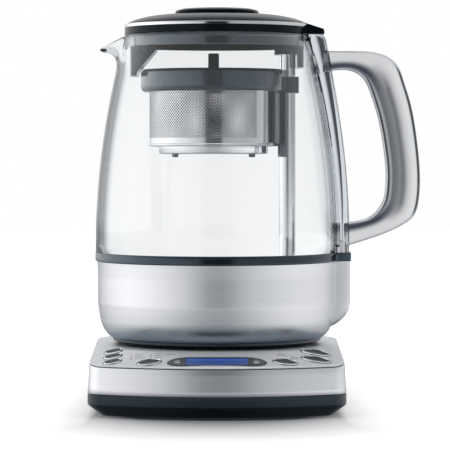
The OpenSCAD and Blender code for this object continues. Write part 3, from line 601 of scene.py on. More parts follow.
def carve(piece, cutters):
    """Cuts meshes out of a piece for good."""
    for cutter in cutters:
        tool = bpy.data.objects.new("cutter", cutter)
        bpy.context.scene.collection.objects.link(tool)
        modifier = piece.modifiers.new("Carve", "BOOLEAN")
        modifier.operation = "DIFFERENCE"
        modifier.solver = "EXACT"
        modifier.object = tool
        graph = bpy.context.evaluated_depsgraph_get()
        carved = bpy.data.meshes.new_from_object(piece.evaluated_get(graph))
        piece.modifiers.clear()
        old = piece.data
        piece.data = carved
        bpy.data.meshes.remove(old)
        bpy.data.objects.remove(tool)
        bpy.data.meshes.remove(cutter)
    finish_mesh(piece.data)


# ---- base ----

# The base in plan: how far it reaches in front of and behind the axis, and its corners' radii
FRONT, BACK = 100.0, 85.0
FRONT_CORNER, BACK_CORNER = 16.0, 45.0
# Heights: the tray's edge, the panel at its front, its flat platform, and the band below the panel
TRAY_TOP, BAND_TOP, PLATFORM = 15.4, 34.0, 43.1
BAND_DROP = 1.5
# Where the slope meets the platform, as a radius about the front's centre, and how softly
PLATFORM_R, PANEL_BEND = 135.0, 0.35
PANEL_CENTRE_Y, PANEL_RINGS = -10.0, 44
# From below the panel to above it, for the cuts through it
CUT = (30, 50)


def base_plan(inset):
    """The base's outline, moved inwards."""
    front_r = sizes().front_radius / MM
    half = sizes().base_width / MM / 2 - inset
    rc, rb, back = FRONT_CORNER - inset, BACK_CORNER - inset, BACK - inset
    centre = front_r - FRONT
    fx = half - rc
    fy = centre - math.sqrt((front_r - inset - rc) ** 2 - fx**2)
    turn = math.degrees(math.atan2(fy - centre, fx))
    return (
        arc(0, centre, front_r - inset, -180 - turn, turn, 60)
        + arc(fx, fy, rc, turn, 0, 14)[1:]
        + arc(half - rb, back - rb, rb, 0, 90, 24)
        + arc(rb - half, back - rb, rb, 90, 180, 24)
        + arc(-fx, fy, rc, 180, 180 - turn, 14)[:-1]
    )


def soft_min(a, b, blend):
    """The smaller of two values, with a rounded crossing."""
    return 0.5 * (a + b - math.sqrt((a - b) ** 2 + blend**2))


def panel_z(x, y):
    """The height of the top panel: a sloped front that runs softly into the flat platform."""
    front_r = sizes().front_radius / MM
    slope = (PLATFORM - BAND_TOP) / (front_r - PLATFORM_R)
    rising = BAND_TOP + slope * (front_r - math.hypot(x, y - front_r + FRONT))
    return soft_min(rising, PLATFORM, PANEL_BEND)


def on_panel(outline, lift):
    """A plan outline as a ring that follows the panel at a height above it."""
    return [(x, y, panel_z(x, y) + lift) for x, y in outline]


def draped(outline_of, levels):
    """Rings that follow the panel: each level is an inset and a height above the panel."""
    return [on_panel(outline_of(inset), lift) for inset, lift in levels]


def tile(name, outline, low, high):
    """A plate that follows the panel between two heights above it."""
    return grid_mesh(name, [on_panel(outline, lift) for lift in (low, high)])


# Each key: the x and y of its middle, and half its width and depth
KEYS = {
    "clock": (-68, -60, 5, 3),
    "timer": (-68, -68.3, 5, 3),
    "auto_start": (-68, -76.8, 5, 3),
    "mode": (-44, -85.5, 7, 3.75),
    "minus": (-25.4, -88.6, 2.6, 2.6),
    "plus": (25.4, -88.6, 2.6, 2.6),
    "menu": (44.2, -85, 7, 3.75),
    "brew": (64.5, -63.7, 8.7, 3.7),
    "heat": (64.5, -75, 8.7, 3.7),
}
ROUND_KEYS = ("minus", "plus")
SMALL_KEYS = ("clock", "timer", "auto_start")
# The width round an oval key that its rim takes, and how much of a key's height shows
SURROUND, KEY_PROUD = 1.0, 0.9
# A key hangs below the panel: its cap, the stem under it and the lip. The stem stands on a switch
CAP_DEPTH, STEM_DEPTH, LIP_DEPTH = 4.6, 5.7, 5.8
SWITCH_TOP = 27.95
# Tops of the keys, a rim and the dark gap round it, as (inset or outset, height)
LOW_DOME = ((0.0, 0.0), (0.0, 0.3), (0.12, 0.45), (0.4, 0.5), (0.9, 0.35), (1.8, 0.1), (2.8, 0.0))
HIGH_DOME = ((0.0, 0.0), (0.0, 0.35), (0.15, 0.65), (0.5, 1.0), (1.0, 1.25), (1.8, 1.4))
RIM = ((0.72, -2.0), (0.72, 0.3), (0.62, 0.62), (0.42, 0.8), (0.18, 0.7), (0.04, 0.3), (0, -2))
GAP = ((0.9, -0.3), (0.9, 0.06), (1.45, 0.06), (1.45, -0.3))

# The display: its middle, half sizes of the bezel and of the window, and the lit line on it
DISPLAY_Y = -89.0
BEZEL, WINDOW = (32.5, 6.4), (20.2, 5.2)
LINE_LOW, LINE_HIGH, LINE_MARGIN = -87.1, -86.5, 1.2
LAMPS = {
    "lamp_lit": ((-55.7, -71.6), (37, -74.5)),
    "lamp_off": ((-55.7, -74.5), (-55.7, -77.3), (-42.8, -73.3), (-42.8, -76.3), (-42.8, -79.1)),
}
# Dashes in place of the print beside the lamps: from x, to x, and y, with half their width
MARKS = (
    (-53.6, -47.2, -71.6), (-53.6, -48.2, -74.5), (-53.6, -46.4, -77.3), (-40.8, -35.6, -73.3),
    (-40.8, -34.2, -76.3), (-40.8, -36.4, -79.1), (-33.6, -27.4, -76.3), (39.4, 44.6, -73.4),
    (39.4, 46.2, -75.8), (47.6, 53.4, -75.8), (47.6, 52.2, -78.2),
)
MARK_HALF = 0.22


def bezel_plan(inset):
    """The bezel: straight in the middle, half an ellipse at each end."""
    end_x = BEZEL[0] - WINDOW[0] - inset
    half = BEZEL[1] - inset
    out = []
    for side, start in ((1, -90), (-1, 90)):
        for i in range(25):
            a = math.radians(start + 180 * i / 24)
            out.append((side * WINDOW[0] + end_x * math.cos(a), DISPLAY_Y + half * math.sin(a)))
    return out


class TEAMAKER_OT_base(bpy.types.Operator):
    """Builds the black tray and the brushed steel band of the base"""

    bl_idname = "teamaker.base"
    bl_label = "Base tray and band"

    def execute(self, context):
        levels = [(10.2, 0.8), (9.5, 0.95), (8.8, 1.5), (0.8, 7.3), (0.25, 8.1), (0.0, 9.2)]
        levels += [(0, 14.9), (0.4, 15.35), (3, 15.35), (3, 8), (12, 5.5)]
        rings = [at_level(base_plan(inset), z) for inset, z in levels]
        add_piece(grid_mesh("tray_shell", rings), "base", "black_plastic", "base_tray")
        levels = [(3.0, TRAY_TOP + 0.05), (0.4, TRAY_TOP + 0.05), (0.15, TRAY_TOP + 0.3)]
        levels += [(0.15 + 1.35 * k / 8, 15.7 + 25.5 * k / 8) for k in range(9)]
        levels += [(1.75, 42.0), (3.0, 42.0)]
        rings = []
        for inset, z in levels:
            rings.append([(x, y, min(z, panel_z(x, y) - BAND_DROP)) for x, y in base_plan(inset)])
        band = grid_mesh("steel_band", rings, closed=True, crease=50)
        add_piece(band, "base", "brushed_steel", "base_band")
        rings = draped(base_plan, ((2.2, -1.7), (1.75, -1.7), (1.75, -0.9), (2.2, -0.9)))
        add_piece(grid_mesh("panel_seam", rings, closed=True), "base", "seal")
        return {"FINISHED"}


class TEAMAKER_OT_panel(bpy.types.Operator):
    """Builds the brushed top panel with its openings"""

    bl_idname = "teamaker.panel"
    bl_label = "Top panel"

    def execute(self, context):
        edge = [(2.6, -1.1), (1.75, -1.1), (1.55, -0.95), (1.5, -0.7), (1.6, -0.35), (1.85, -0.12)]
        edge += [(2.3, -0.02), (3.0, 0.0)]
        rings = draped(base_plan, edge)
        last = base_plan(edge[-1][0])
        for i in range(1, PANEL_RINGS + 1):
            k = 1 - 0.6 * i / PANEL_RINGS
            smaller = [(x * k, PANEL_CENTRE_Y + (y - PANEL_CENTRE_Y) * k) for x, y in last]
            rings.append(on_panel(smaller, 0))
        mesh = grid_mesh("top_panel", rings, crease=60)
        panel = add_piece(mesh, "base", "brushed_steel", "base_top_panel", "brushed_panel")
        cutters = []
        for name, (x, y, a, b) in KEYS.items():
            if name not in ROUND_KEYS:
                cutters.append(prism("hole", oval(x, y, a + SURROUND, b + SURROUND), *CUT))
        cutters.append(prism("hole", bezel_plan(0.0), *CUT))
        carve(panel, cutters)
        return {"FINISHED"}


class TEAMAKER_OT_display(bpy.types.Operator):
    """Builds the display's bezel, its lit window and the status lamps"""

    bl_idname = "teamaker.display"
    bl_label = "Display and lamps"

    def execute(self, context):
        levels = [(0.1, -2.2), (0.1, 0.15), (0.3, 0.4), (0.7, 0.45), (2.2, 0.42)]
        mesh = grid_mesh("display_bezel_frame", draped(bezel_plan, levels))
        bezel = add_piece(mesh, "base", "key_dark", "display_bezel", "bezel")
        wx, wy = WINDOW
        window = rectangle(-wx, DISPLAY_Y - wy, wx, DISPLAY_Y + wy)
        holes = [prism("hole", window, *CUT)]
        for name in ROUND_KEYS:
            x, y, a, b = KEYS[name]
            holes.append(prism("hole", oval(x, y, a + 0.25, b + 0.25), *CUT))
        carve(bezel, holes)
        lens = rounded([(x * 0.995, DISPLAY_Y + (y - DISPLAY_Y) * 0.98) for x, y in window], 0.5)
        add_piece(tile("display_lens", lens, -1.2, 0.25), "base", "display_blue", "display_window")
        line = rectangle(-wx + LINE_MARGIN, LINE_LOW, wx - LINE_MARGIN, LINE_HIGH)
        mesh = tile("display_line", line, 0.1, 0.3)
        add_piece(mesh, "base", "display_blue", finish="display_line")
        marks = []
        for x0, x1, y in MARKS:
            marks.append(tile("dash", rectangle(x0, y - MARK_HALF, x1, y + MARK_HALF), -0.1, 0.05))
        add_piece(joined("panel_marks", marks), "base", "key_dark")
        for name, places in LAMPS.items():
            lamps = []
            for x, y in places:
                z = panel_z(x, y)
                section = [(0, z - 3), (0.55, z - 3), (0.55, z), (0.4, z + 0.12), (0, z + 0.15)]
                lamps.append(lathe("lamp", section, 20, (x, y)))
            finish = "led_red" if name == "lamp_lit" else "lamp_off"
            add_piece(joined(name, lamps), "base", "led_red", "status_leds", finish)
        return {"FINISHED"}


class TEAMAKER_OT_keys(bpy.types.Operator):
    """Builds the nine keys and the bright rims round the oval ones"""

    bl_idname = "teamaker.keys"
    bl_label = "Keys"

    def execute(self, context):
        rims, gaps = [], []
        for name, (x, y, a, b) in KEYS.items():
            z = panel_z(x, y)
            bright = name in ROUND_KEYS + SMALL_KEYS
            rings = [at_level(oval(x, y, a, b), z - CAP_DEPTH)]
            for inset, lift in HIGH_DOME if bright else LOW_DOME:
                rings.append(on_panel(oval(x, y, a - inset, b - inset), KEY_PROUD * lift - 0.05))
            lip = prism("lip", oval(x, y, a + 0.8, b + 0.8), z - LIP_DEPTH, z - CAP_DEPTH)
            stem = prism("stem", oval(x, y, 1.5, 1.5, 24), SWITCH_TOP, z - STEM_DEPTH)
            cap = joined(name + "_cap", (grid_mesh("cap", rings), lip, stem))
            slot = "key_chrome" if bright else "key_dark"
            finish = "key_steel" if name in ROUND_KEYS else "key_dark"
            add_piece(cap, name + "_key", slot, "button_" + name, finish)
            if name in ROUND_KEYS:
                continue
            rings = draped(lambda out: oval(x, y, a + 0.18 + out, b + 0.18 + out), RIM)
            rims.append(grid_mesh("rim", rings, closed=True))
            rings = draped(lambda out: oval(x, y, a + out, b + out), GAP)
            gaps.append(grid_mesh("gap", rings, closed=True))
        add_piece(joined("key_rims", rims), "base", "key_chrome", "button_surrounds")
        add_piece(joined("key_gaps", gaps), "base", "key_dark", finish="seal")
        return {"FINISHED"}


# ---- jug ----

GLASS_FOOT = 105.2
# The lug under the handle: its reach from the axis, half its width and how square it is
LUG_X, LUG_HALF, LUG_SQUARE = 89.8, 18.0, 26.0
LUG_LOW = 56.5
SHELL_WALL = 1.2
STEPS = 220


def lug_radius(angle, reach, radius):
    """Distance from the axis to the body: the circle, or the rounded lug that stands out of it."""
    c, s = math.cos(angle), math.sin(angle)
    if reach <= radius + 0.05 or c <= 0.2:
        return radius
    side = LUG_HALF / max(abs(s), 1e-6)
    flat = reach / c
    lug = (side**-LUG_SQUARE + flat**-LUG_SQUARE) ** (-1 / LUG_SQUARE)
    return max(radius, min(lug, reach * 1.03))


def body_ring(radius, reach, z):
    """A ring about the jug's axis, with a lug unless its reach is 0."""
    ring = []
    for i in range(STEPS):
        # more steps where the lug is
        t = i / STEPS
        angle = math.tau * (t - 0.06 * math.sin(math.tau * t))
        r = lug_radius(angle, reach, radius)
        ring.append((r * math.cos(angle), r * math.sin(angle), z))
    return ring


def shell_line():
    """The steel shell from its lower lip round the belly to its top edge."""
    belly = cubic((70.9, 47.4), (74.5, 48.8), (78.6, 54.5), (79.6, 61.5), 16)
    return belly + [(80.3, 66), (80.9, 71), (80.9, 90), (81.2, 97.5), (81.3, 99.1), (81.0, 99.4)]


def lug_reach(z):
    """How far the lug stands out at a height."""
    if z < LUG_LOW:
        return 0
    return at_height(cubic((78.6, 56), (83.4, 59), (LUG_X - 0.4, 63.5), (LUG_X, 71), 24), z)


class TEAMAKER_OT_shell(bpy.types.Operator):
    """Builds the jug's foot, brushed shell and black band"""

    bl_idname = "teamaker.shell"
    bl_label = "Jug foot, shell and band"

    def execute(self, context):
        foot = [(28.6, 47.4), (28.6, 45.4), (69.9, 45.4), (70.7, 46.0), (70.7, 47.4), (69.6, 49)]
        foot += [(69.6, 52), (67, 52), (66.6, 47.6)]
        add_piece(lathe("foot_plate", foot), "jug", "black_plastic", "jug_foot")
        outside = shell_line()
        line = []
        for (r0, z0), (r1, z1) in zip(outside, outside[1:]):
            count = max(1, round((z1 - z0) / 1.6))
            line += [(r0 + (r1 - r0) * k / count, z0 + (z1 - z0) * k / count) for k in range(count)]
        line.append(outside[-1])
        rings = [body_ring(r, lug_reach(z), z) for r, z in line]
        rings += [body_ring(r - SHELL_WALL, 0, z) for r, z in reversed(line)]
        shell = grid_mesh("steel_shell", rings, closed=True, crease=45)
        add_piece(shell, "jug", "brushed_steel", "jug_shell")
        section = [(76, 99.4), (82.1, 99.4), (82.6, 99.8), (82.6, 104.8), (82.4, 105.15)]
        section += [(79.9, 105.15), (79.9, 103.2), (76, 103.2)]
        rings = []
        for i, (r, z) in enumerate(section):
            rings.append(body_ring(r, LUG_X + 0.7 if 1 <= i <= 4 else 0, z))
        band = grid_mesh("black_band", rings, closed=True)
        add_piece(band, "jug", "charcoal_plastic", "jug_band", "band_plastic")
        return {"FINISHED"}


def glass_line(steps):
    """The outside of the glass, from its foot to its rim."""
    return [(82.3, GLASS_FOOT)] + cubic((82.3, 114), (82.3, 160), (74.5, 208), (62.5, 252), steps)


# The pouring lip's outline, the height where it starts and half the angle it takes
SPOUT_LINE = [(68.3, 230), (68.4, 234), (69.2, 236.6), (71.0, 238.6), (73.8, 239.9), (76.8, 240.5)]
SPOUT_LINE += [(79.0, 241.3), (79.6, 242.4)]
SPOUT_LOW, SPOUT_ANGLE = 228, 24.0


class TEAMAKER_OT_glass(bpy.types.Operator):
    """Builds the glass jug with its pouring lip"""

    bl_idname = "teamaker.glass"
    bl_label = "Glass jug"

    def execute(self, context):
        plain = glass_line(44)
        lip = [p for p in plain if p[1] < SPOUT_LOW]
        rest = len(plain) - len(lip)
        lip += [through(SPOUT_LINE, i / (rest - 1)) for i in range(rest)]
        rings = []
        for (r0, z0), (r1, z1) in zip(plain, lip):
            ring = []
            for i in range(STEPS):
                angle = math.tau * i / STEPS
                off = abs(math.degrees(angle) - 180) / SPOUT_ANGLE
                w = math.cos(min(off, 1) * math.pi / 2) ** 3 if off < 1 else 0
                r, z = r0 + (r1 - r0) * w, z0 + (z1 - z0) * w
                ring.append((r * math.cos(angle), r * math.sin(angle), z))
            rings.append(ring)
        mesh = grid_mesh("glass_wall", rings, capped=False, crease=80)
        glass = add_piece(mesh, "jug", "clear_glass", "glass_jug")
        wall = glass.modifiers.new("Wall", "SOLIDIFY")
        wall.thickness = sizes().glass_wall
        wall.offset = -1
        wall.use_even_offset = False
        soften(glass, 0.9, 3, 60)
        return {"FINISHED"}


# The handle in side view, from the top: its outer and its inner edge
HANDLE_OUTER = (
    (70.8, 241.4), (84, 241.3), (95, 241.2), (105, 240.6), (115, 237.8), (122.6, 231),
    (127, 219.5), (131.6, 204), (135, 185), (137.4, 162), (137.2, 144), (134, 130.6),
    (126, 123.8), (115, 118.4), (101, 113.4), (92, 110.6), (84.6, 108.6),
)
HANDLE_INNER = (
    (70.8, 226.6), (82, 228.6), (91, 228.2), (98, 224.6), (101.8, 219.4), (104.6, 212.4),
    (107.2, 204.6), (109.9, 195), (112.6, 181), (114.9, 162), (114.5, 146.5), (112.6, 138.8),
    (108.4, 132.4), (102.6, 128.2), (96, 126.3), (89, 125.3), (84.6, 125),
)
# The handle's painted light and dark bands, in place of what it mirrors and bends, across its grip
# and its arms, from the inner edge to the outer one
GRIP_PAINTED_BANDS = (
    (0.0, 0.81), (0.04, 0.86), (0.13, 0.86), (0.17, 0.13), (0.26, 0.16), (0.36, 0.21),
    (0.43, 0.26), (0.48, 0.15), (0.54, 0.21), (0.59, 0.38), (0.65, 0.56), (0.78, 0.74),
    (0.84, 0.77), (0.90, 0.67), (1.0, 0.64),
)
ARM_PAINTED_BANDS = (
    (0.0, 0.64), (0.06, 0.44), (0.11, 0.21), (0.16, 0.06), (0.23, 0.04), (0.30, 0.07),
    (0.36, 0.20), (0.41, 0.36), (0.46, 0.52), (0.54, 0.66), (0.92, 0.69), (1.0, 0.61),
)
# The clear spine: its gap to the glass, and where and how deep its edges round off
SPINE_GAP, SPINE_EDGE, SPINE_ROUND = 0.3, 0.72, 4.0


def handle_section(sides):
    """The handle's section in shares of its half width and depth: a square with full corners."""
    out = []
    for k in range(sides):
        c, s = math.cos(math.tau * k / sides), math.sin(math.tau * k / sides)
        power = 0.18 if c < 0 else 0.32
        out.append((math.copysign(abs(c) ** power, c), math.copysign(abs(s) ** power, s)))
    return out


def handle_rings(count, section, depth):
    """Rings of the handle's skin along its length."""
    rings = []
    for i in range(count + 1):
        a = Vector(through(HANDLE_INNER, i / count))
        b = Vector(through(HANDLE_OUTER, i / count))
        middle_line, half = (a + b) / 2, (b - a) / 2
        ring = []
        for c, s in section:
            p = middle_line + half * c
            ring.append((p.x, depth / 2 * s, p.y))
        rings.append(ring)
    return rings


def spine_rings():
    """Rings of the clear spine: rounded at its edges outside, following the glass inside."""
    line = [(LUG_X, GLASS_FOOT + 0.1)]
    line += cubic((LUG_X, 118), (LUG_X, 165), (82.5, 206), (74.2, 248.5), 30)
    line += [(73.4, 250.6), (71.8, 252)]
    glass = glass_line(60)
    spread = [-1 + 2 * k / 16 for k in range(17)]
    rings = []
    for r, z in line:
        ring = []
        for t in spread:
            drop = max(0, abs(t) - SPINE_EDGE) / (1 - SPINE_EDGE)
            y = LUG_HALF * t * (1 - 0.01 * drop)
            out = math.sqrt(max(r**2 - y**2, 1))
            ring.append((out - SPINE_ROUND * (1 - math.sqrt(max(0, 1 - drop**2))), y, z))
        inner = at_height(glass, z) + SPINE_GAP
        for t in reversed(spread):
            ring.append((math.sqrt(inner**2 - (LUG_HALF * t) ** 2), LUG_HALF * t, z))
        rings.append(ring)
    return rings


class TEAMAKER_OT_handle(bpy.types.Operator):
    """Builds the clear handle and the clear spine that carries it"""

    bl_idname = "teamaker.handle"
    bl_label = "Handle and spine"

    def execute(self, context):
        section = handle_section(72)
        rings = handle_rings(150, section, sizes().handle_depth / MM)
        shares = [(1 + c) / 2 for c, s in section]
        grip = grid_mesh("handle_grip", rings, crease=60, shares=shares)
        add_piece(grip, "jug", "clear_plastic", "handle", "handle_clear")
        spine = grid_mesh("spine_cover", spine_rings(), crease=50)
        add_piece(spine, "jug", "clear_plastic", "handle_spine")
        return {"FINISHED"}


class TEAMAKER_OT_post(bpy.types.Operator):
    """Builds the polished post and the bright bead on the jug's floor"""

    bl_idname = "teamaker.post"
    bl_label = "Post"

    def execute(self, context):
        top = top_of("post_tube")
        section = [(4.8, 96), (5.58, 96), (5.58, top - 0.8), (4.8, top), (0, top), (0, top - 1.5)]
        section += [(4.8, top - 1.5)]
        add_piece(lathe("post", section, 64, (POST_X, 0)), "jug", "bright_steel", "post_tube")
        top = top_of("heater_plate")
        bead = [(69, top - 0.1), (69, top + 0.3), (69.6, top + 0.9), (70.6, top + 0.9)]
        bead += [(71.2, top + 0.3), (71.2, top - 0.1)]
        add_piece(lathe("floor_bead", bead), "jug", "steel_plate")
        return {"FINISHED"}


# ---- basket ----

# The perforated sheet: its radius, and that of the dark sheet of painted shade just inside it, its
# heights, the degrees it takes and its wall
CAN_R, SHADE_SHEET_R = 43.5, 43.5 - 0.16
MESH_LOW, MESH_HIGH = 181.8, 215.6
MESH_FROM, MESH_TO = 47, 313
MESH_WALL = 0.12
# A hole's share of its cell, and the step from row to row in pitches
HOLE_SHARE, ROW_STEP = 0.58, 0.54
CAN_IN = 42.9


def perforated(name, radius, pitch):
    """A curved sheet with staggered holes: each diamond cell of the lattice has a hole in it."""
    turn = math.radians(MESH_TO - MESH_FROM)
    columns = round(turn * radius / pitch)
    rows = round((MESH_HIGH - MESH_LOW) / (pitch * ROW_STEP))
    points, faces, index = [], [], {}

    def vertex(u, v):
        key = (round(u * 100), round(v * 100))
        if key not in index:
            index[key] = len(points)
            angle = math.radians(MESH_FROM) + turn * u / (2 * columns)
            z = MESH_LOW + (MESH_HIGH - MESH_LOW) * v / rows
            x, y = BASKET_X + radius * math.cos(angle), radius * math.sin(angle)
            points.append(to_scene((x, y, z)))
        return index[key]

    for v in range(1, rows):
        for u in range(1 + v % 2, 2 * columns, 2):
            rim = [(u, v - 1), (u + 1, v), (u, v + 1), (u - 1, v)]
            hole = []
            for k in range(8):
                a = math.tau * k / 8 - math.pi / 2
                hole.append((u + HOLE_SHARE * math.cos(a), v + HOLE_SHARE * math.sin(a)))
            for k in range(4):
                a, b = vertex(*rim[k]), vertex(*rim[(k + 1) % 4])
                h = [vertex(*hole[(2 * k + j) % 8]) for j in range(3)]
                faces += [(a, b, h[2], h[1]), (a, h[1], h[0])]
    mesh = bpy.data.meshes.new(name)
    mesh.from_pydata(points, [], faces)
    mesh.shade_flat()
    return mesh


class TEAMAKER_OT_basket(bpy.types.Operator):
    """Builds the perforated basket with its floor, feet and lid"""

    bl_idname = "teamaker.basket"
    bl_label = "Tea basket"

    def execute(self, context):
        pitch = sizes().hole_pitch / MM
        centre = (BASKET_X, 0)
        # the second, dark sheet just inside the bright one is painted shade for the basket's inside
        sheets = {"basket_holes": (CAN_R, None), "basket_painted_shade": (SHADE_SHEET_R, "shaded_steel")}
        for name, (radius, finish) in sheets.items():
            sheet = perforated(name, radius, pitch)
            piece = add_piece(sheet, "carriage", "bright_steel", "basket_mesh", finish)
            piece.modifiers.new("Wall", "SOLIDIFY").thickness = MESH_WALL * MM
        low, high = MESH_LOW, MESH_HIGH
        lower = [(CAN_IN, 176.8), (CAN_R, 176.8), (43.9, 177.3), (43.9, 178.0), (CAN_R, 178.6)]
        lower += [(CAN_R, low + 0.7), (CAN_IN, low + 0.7)]
        upper = rectangle(CAN_IN, high - 0.5, CAN_R, high + 0.8)
        can = [lathe("ring", line, 160, centre) for line in (lower, upper)]
        back = rectangle(CAN_IN, low, CAN_R, high)
        back = [turned(back, math.radians(-49 + 98 * i / 40), centre) for i in range(41)]
        can.append(grid_mesh("back", back))
        add_piece(joined("basket_can", can), "carriage", "bright_steel", "basket_mesh")
        floor = [(0, 171.6), (35.6, 171.6), (36.8, 172.2), (37.0, 173), (37.0, 176.4)]
        floor += [(42.8, 176.9), (42.8, 177.6), (36, 177.4), (36, 172.4), (0, 172.4)]
        plate = lathe("basket_plate", floor, 128, centre)
        add_piece(plate, "carriage", "bright_steel", "basket_floor")
        foot = [(0, 169.4), (1.3, 169.4), (1.9, 169.9), (1.9, 171.7), (0, 171.7)]
        feet = []
        for angle in (30, 150, 215, 325):
            ((x, y, _),) = turned([(31, 0)], math.radians(angle), centre)
            feet.append(lathe("foot", foot, 24, (x, y)))
        feet = joined("basket_feet", feet)
        add_piece(feet, "carriage", "bright_steel", "basket_floor", "slate_plastic")
        lid = [(0, 225.2), (42, 225.2), (42, 226.8), (41.4, 227.4), (8, 227.4), (7, 228.6)]
        lid += [(3.9, 228.8), (3.75, 229.2), (3.75, 238.8), (3.2, 239.6), (0, 239.6)]
        cover = lathe("basket_cover", lid, 128, centre)
        add_piece(cover, "basket_lid", "charcoal_plastic", "basket_lid")
        return {"FINISHED"}


# ---- lid ----

# Glowing dots painted as light through the pouring filter's holes: the first one, the steps from
# row to row and along a row
FILTER_X, FILTER_Z = -47.6, 243.4
FILTER_ROWS, FILTER_COLUMNS = 11, 3
FILTER_ROW_X, FILTER_ROW_Z, FILTER_STEP = -0.50, -1.08, 1.9


class TEAMAKER_OT_lid(bpy.types.Operator):
    """Builds the lid's bright ring, the painted glowing dots of light through the filter, and the
    knob
    """

    bl_idname = "teamaker.lid"
    bl_label = "Lid"

    def execute(self, context):
        trim = [(62.22, 256.95), (62.5, 256.95), (62.6, 257.1), (62.6, 258.9), (62.5, 259.15)]
        trim += [(62.1, 259.2), (62.05, 259.0), (62.22, 258.6)]
        rings = [turned(trim, math.radians(14.3 + (360 - 28.6) * i / 180)) for i in range(181)]
        add_piece(grid_mesh("lid_ring", rings), "lid", "bright_steel", "lid_trim_ring")
        # dots of painted glow where light shows through the filter's holes
        dots = []
        for row in range(FILTER_ROWS):
            z = FILTER_Z + FILTER_ROW_Z * row
            start = FILTER_X + FILTER_ROW_X * row + (FILTER_STEP / 2 if row % 2 else 0.0)
            for column in range(FILTER_COLUMNS):
                x = start - FILTER_STEP * column
                spot = [(x + 0.62, z), (x, z + 0.6), (x - 0.62, z), (x, z - 0.6)]
                dots.append(slab("dot", spot, -15.3, -15.0))
        holes = joined("painted_glow_dots", dots)
        add_piece(holes, "lid", "bright_steel", "lid_filter_mesh", "filter_light")
        knob = [(0, 265.5), (24, 265.5), (27.2, 265.8), (28.2, 266.6), (28.4, 267.6), (27.6, 268.8)]
        knob += [(24, 269.8), (16, 270.3), (8, 270.48), (0, 270.5)]
        add_piece(lathe("knob_cap", knob), "lid", "black_plastic", "lid_knob", "charcoal_plastic")
        return {"FINISHED"}


# ---- parts that keep their CAD shape ----

# Nodes whose finish isn't that of their slot
KEPT_FINISH = {
    "basket_ring": "slate_plastic",
    "carriage": "slate_plastic",
    "lid_skirt": "smoke_plastic",
}


class TEAMAKER_OT_kept_parts(bpy.types.Operator):
    """Gives every part that keeps its own shape its finish"""

    bl_idname = "teamaker.kept_parts"
    bl_label = "Finishes of the kept parts"

    def execute(self, context):
        slots = {row["node"]: row["material_slot"] for row in frame["record"]["subparts"]}
        for name, node in frame["nodes"].items():
            if node.hide_render:
                continue
            node.data.materials.clear()
            node.data.materials.append(FINISH[KEPT_FINISH.get(name, slots[name])])
        return {"FINISHED"}


# ---- stage ----

# What gloss mirrors. Levels by the degrees from the front: about level, and below that
MIRRORED_AROUND = (
    (0, 0.02), (12, 0.03), (17, 0.52), (30, 0.68), (60, 0.82), (95, 1.15), (122, 1.10),
    (142, 0.95), (160, 0.72), (180, 0.58),
)
MIRRORED_LOW = (
    (0, 0.64), (12, 0.68), (24, 0.84), (36, 1.00), (50, 1.15), (70, 1.30), (95, 1.30),
    (120, 1.10), (140, 0.80), (155, 0.56), (166, 0.40), (180, 0.36),
)
# Levels by height, up to 1 overhead: behind, and in front
MIRRORED_ABOVE = ((0.0, 0.78), (0.60, 0.85), (0.80, 0.70), (0.90, 0.30), (0.94, 1.2), (1.0, 1.2))
MIRRORED_ABOVE_FRONT = (
    (0.0, 0.45), (0.40, 0.30), (0.62, 0.35), (0.74, 1.1), (0.90, 1.1), (1.0, 1.2),
)
# The dark below, by height plus 1, with its colour
MIRRORED_DEEP = ((0.0, 0.92), (0.3, 0.75), (0.5, 0.55), (0.7, 0.25), (0.9, 0.06), (0.96, 0.0))
DARK = (0.02, 0.02, 0.02, 1)
# What shows through glass, by the degrees from the front, and its colour for steeper directions
THROUGH_GLASS = (
    (0, 1.0), (122, 1.0), (135, 0.45), (143, 0.08), (168, 0.06), (172.0, 0.98), (180, 1.0),
)
STEEP_IN_GLASS = (0.82, 0.83, 0.85, 1)
# The light on dull surfaces, and on those that are seen through glass
DULL_LIGHT = (0.26, 0.265, 0.275, 1)
DULL_IN_GLASS = (0.40, 0.42, 0.45, 1)
# The tint of each level of the light
COOL_TONES = (
    (0.0, (0.70, 0.84, 1.0)), (0.15, (0.78, 0.89, 1.0)), (0.30, (0.83, 0.92, 1.0)),
    (0.50, (0.93, 0.965, 1.0)), (0.80, (0.985, 0.99, 1.0)), (1.0, (1.0, 1.0, 1.0)),
)
# The floor's painted glow by the distance in metres from the axis, which leaves a painted pool of
# shade round the tea maker: all round, to the side and behind
FLOOR_SHADE = ((0.11, 0.0), (0.133, 0.18), (0.155, 0.34), (0.177, 0.48), (0.2, 0.61), (0.22, 0.70))
FLOOR_SHADE += ((0.25, 0.90),)
FLOOR_ASIDE = ((0.078, 0.0), (0.085, 0.50), (0.10, 0.66), (0.14, 0.90))
FLOOR_BEHIND = ((0.085, 0.0), (0.11, 0.45), (0.14, 0.66), (0.19, 0.90))
FLOOR_STRETCH = (1.45, 1, 1)
# The camera: its distance and height in metres, and its lens and sensor in millimetres
CAMERA_DISTANCE, CAMERA_HEIGHT = 1.7, 0.173
LENS, SENSOR = 200, 36
# In the photo's pixels: the width, and how far the level line and the axis are from its middle
PHOTO_WIDTH, LEVEL_ABOVE, AXIS_LEFT = 450, 73, 8


def by_degrees(stops):
    """Stops given in degrees from the front, as shares of half a turn."""
    return [(degrees / 180, level) for degrees, level in stops]


def lit_from_left(tree, level, x):
    """A level that is raised for directions to the left and lowered for those to the right."""
    share = math_node(tree, "SUBTRACT", 1.0, math_node(tree, "MULTIPLY", x, 0.45))
    return vector_math(tree, "SCALE", level, share)


def cooled(tree, level):
    """A light whose darker tones lean to blue."""
    return vector_math(tree, "MULTIPLY", level, colour_ramp(tree, level, COOL_TONES))


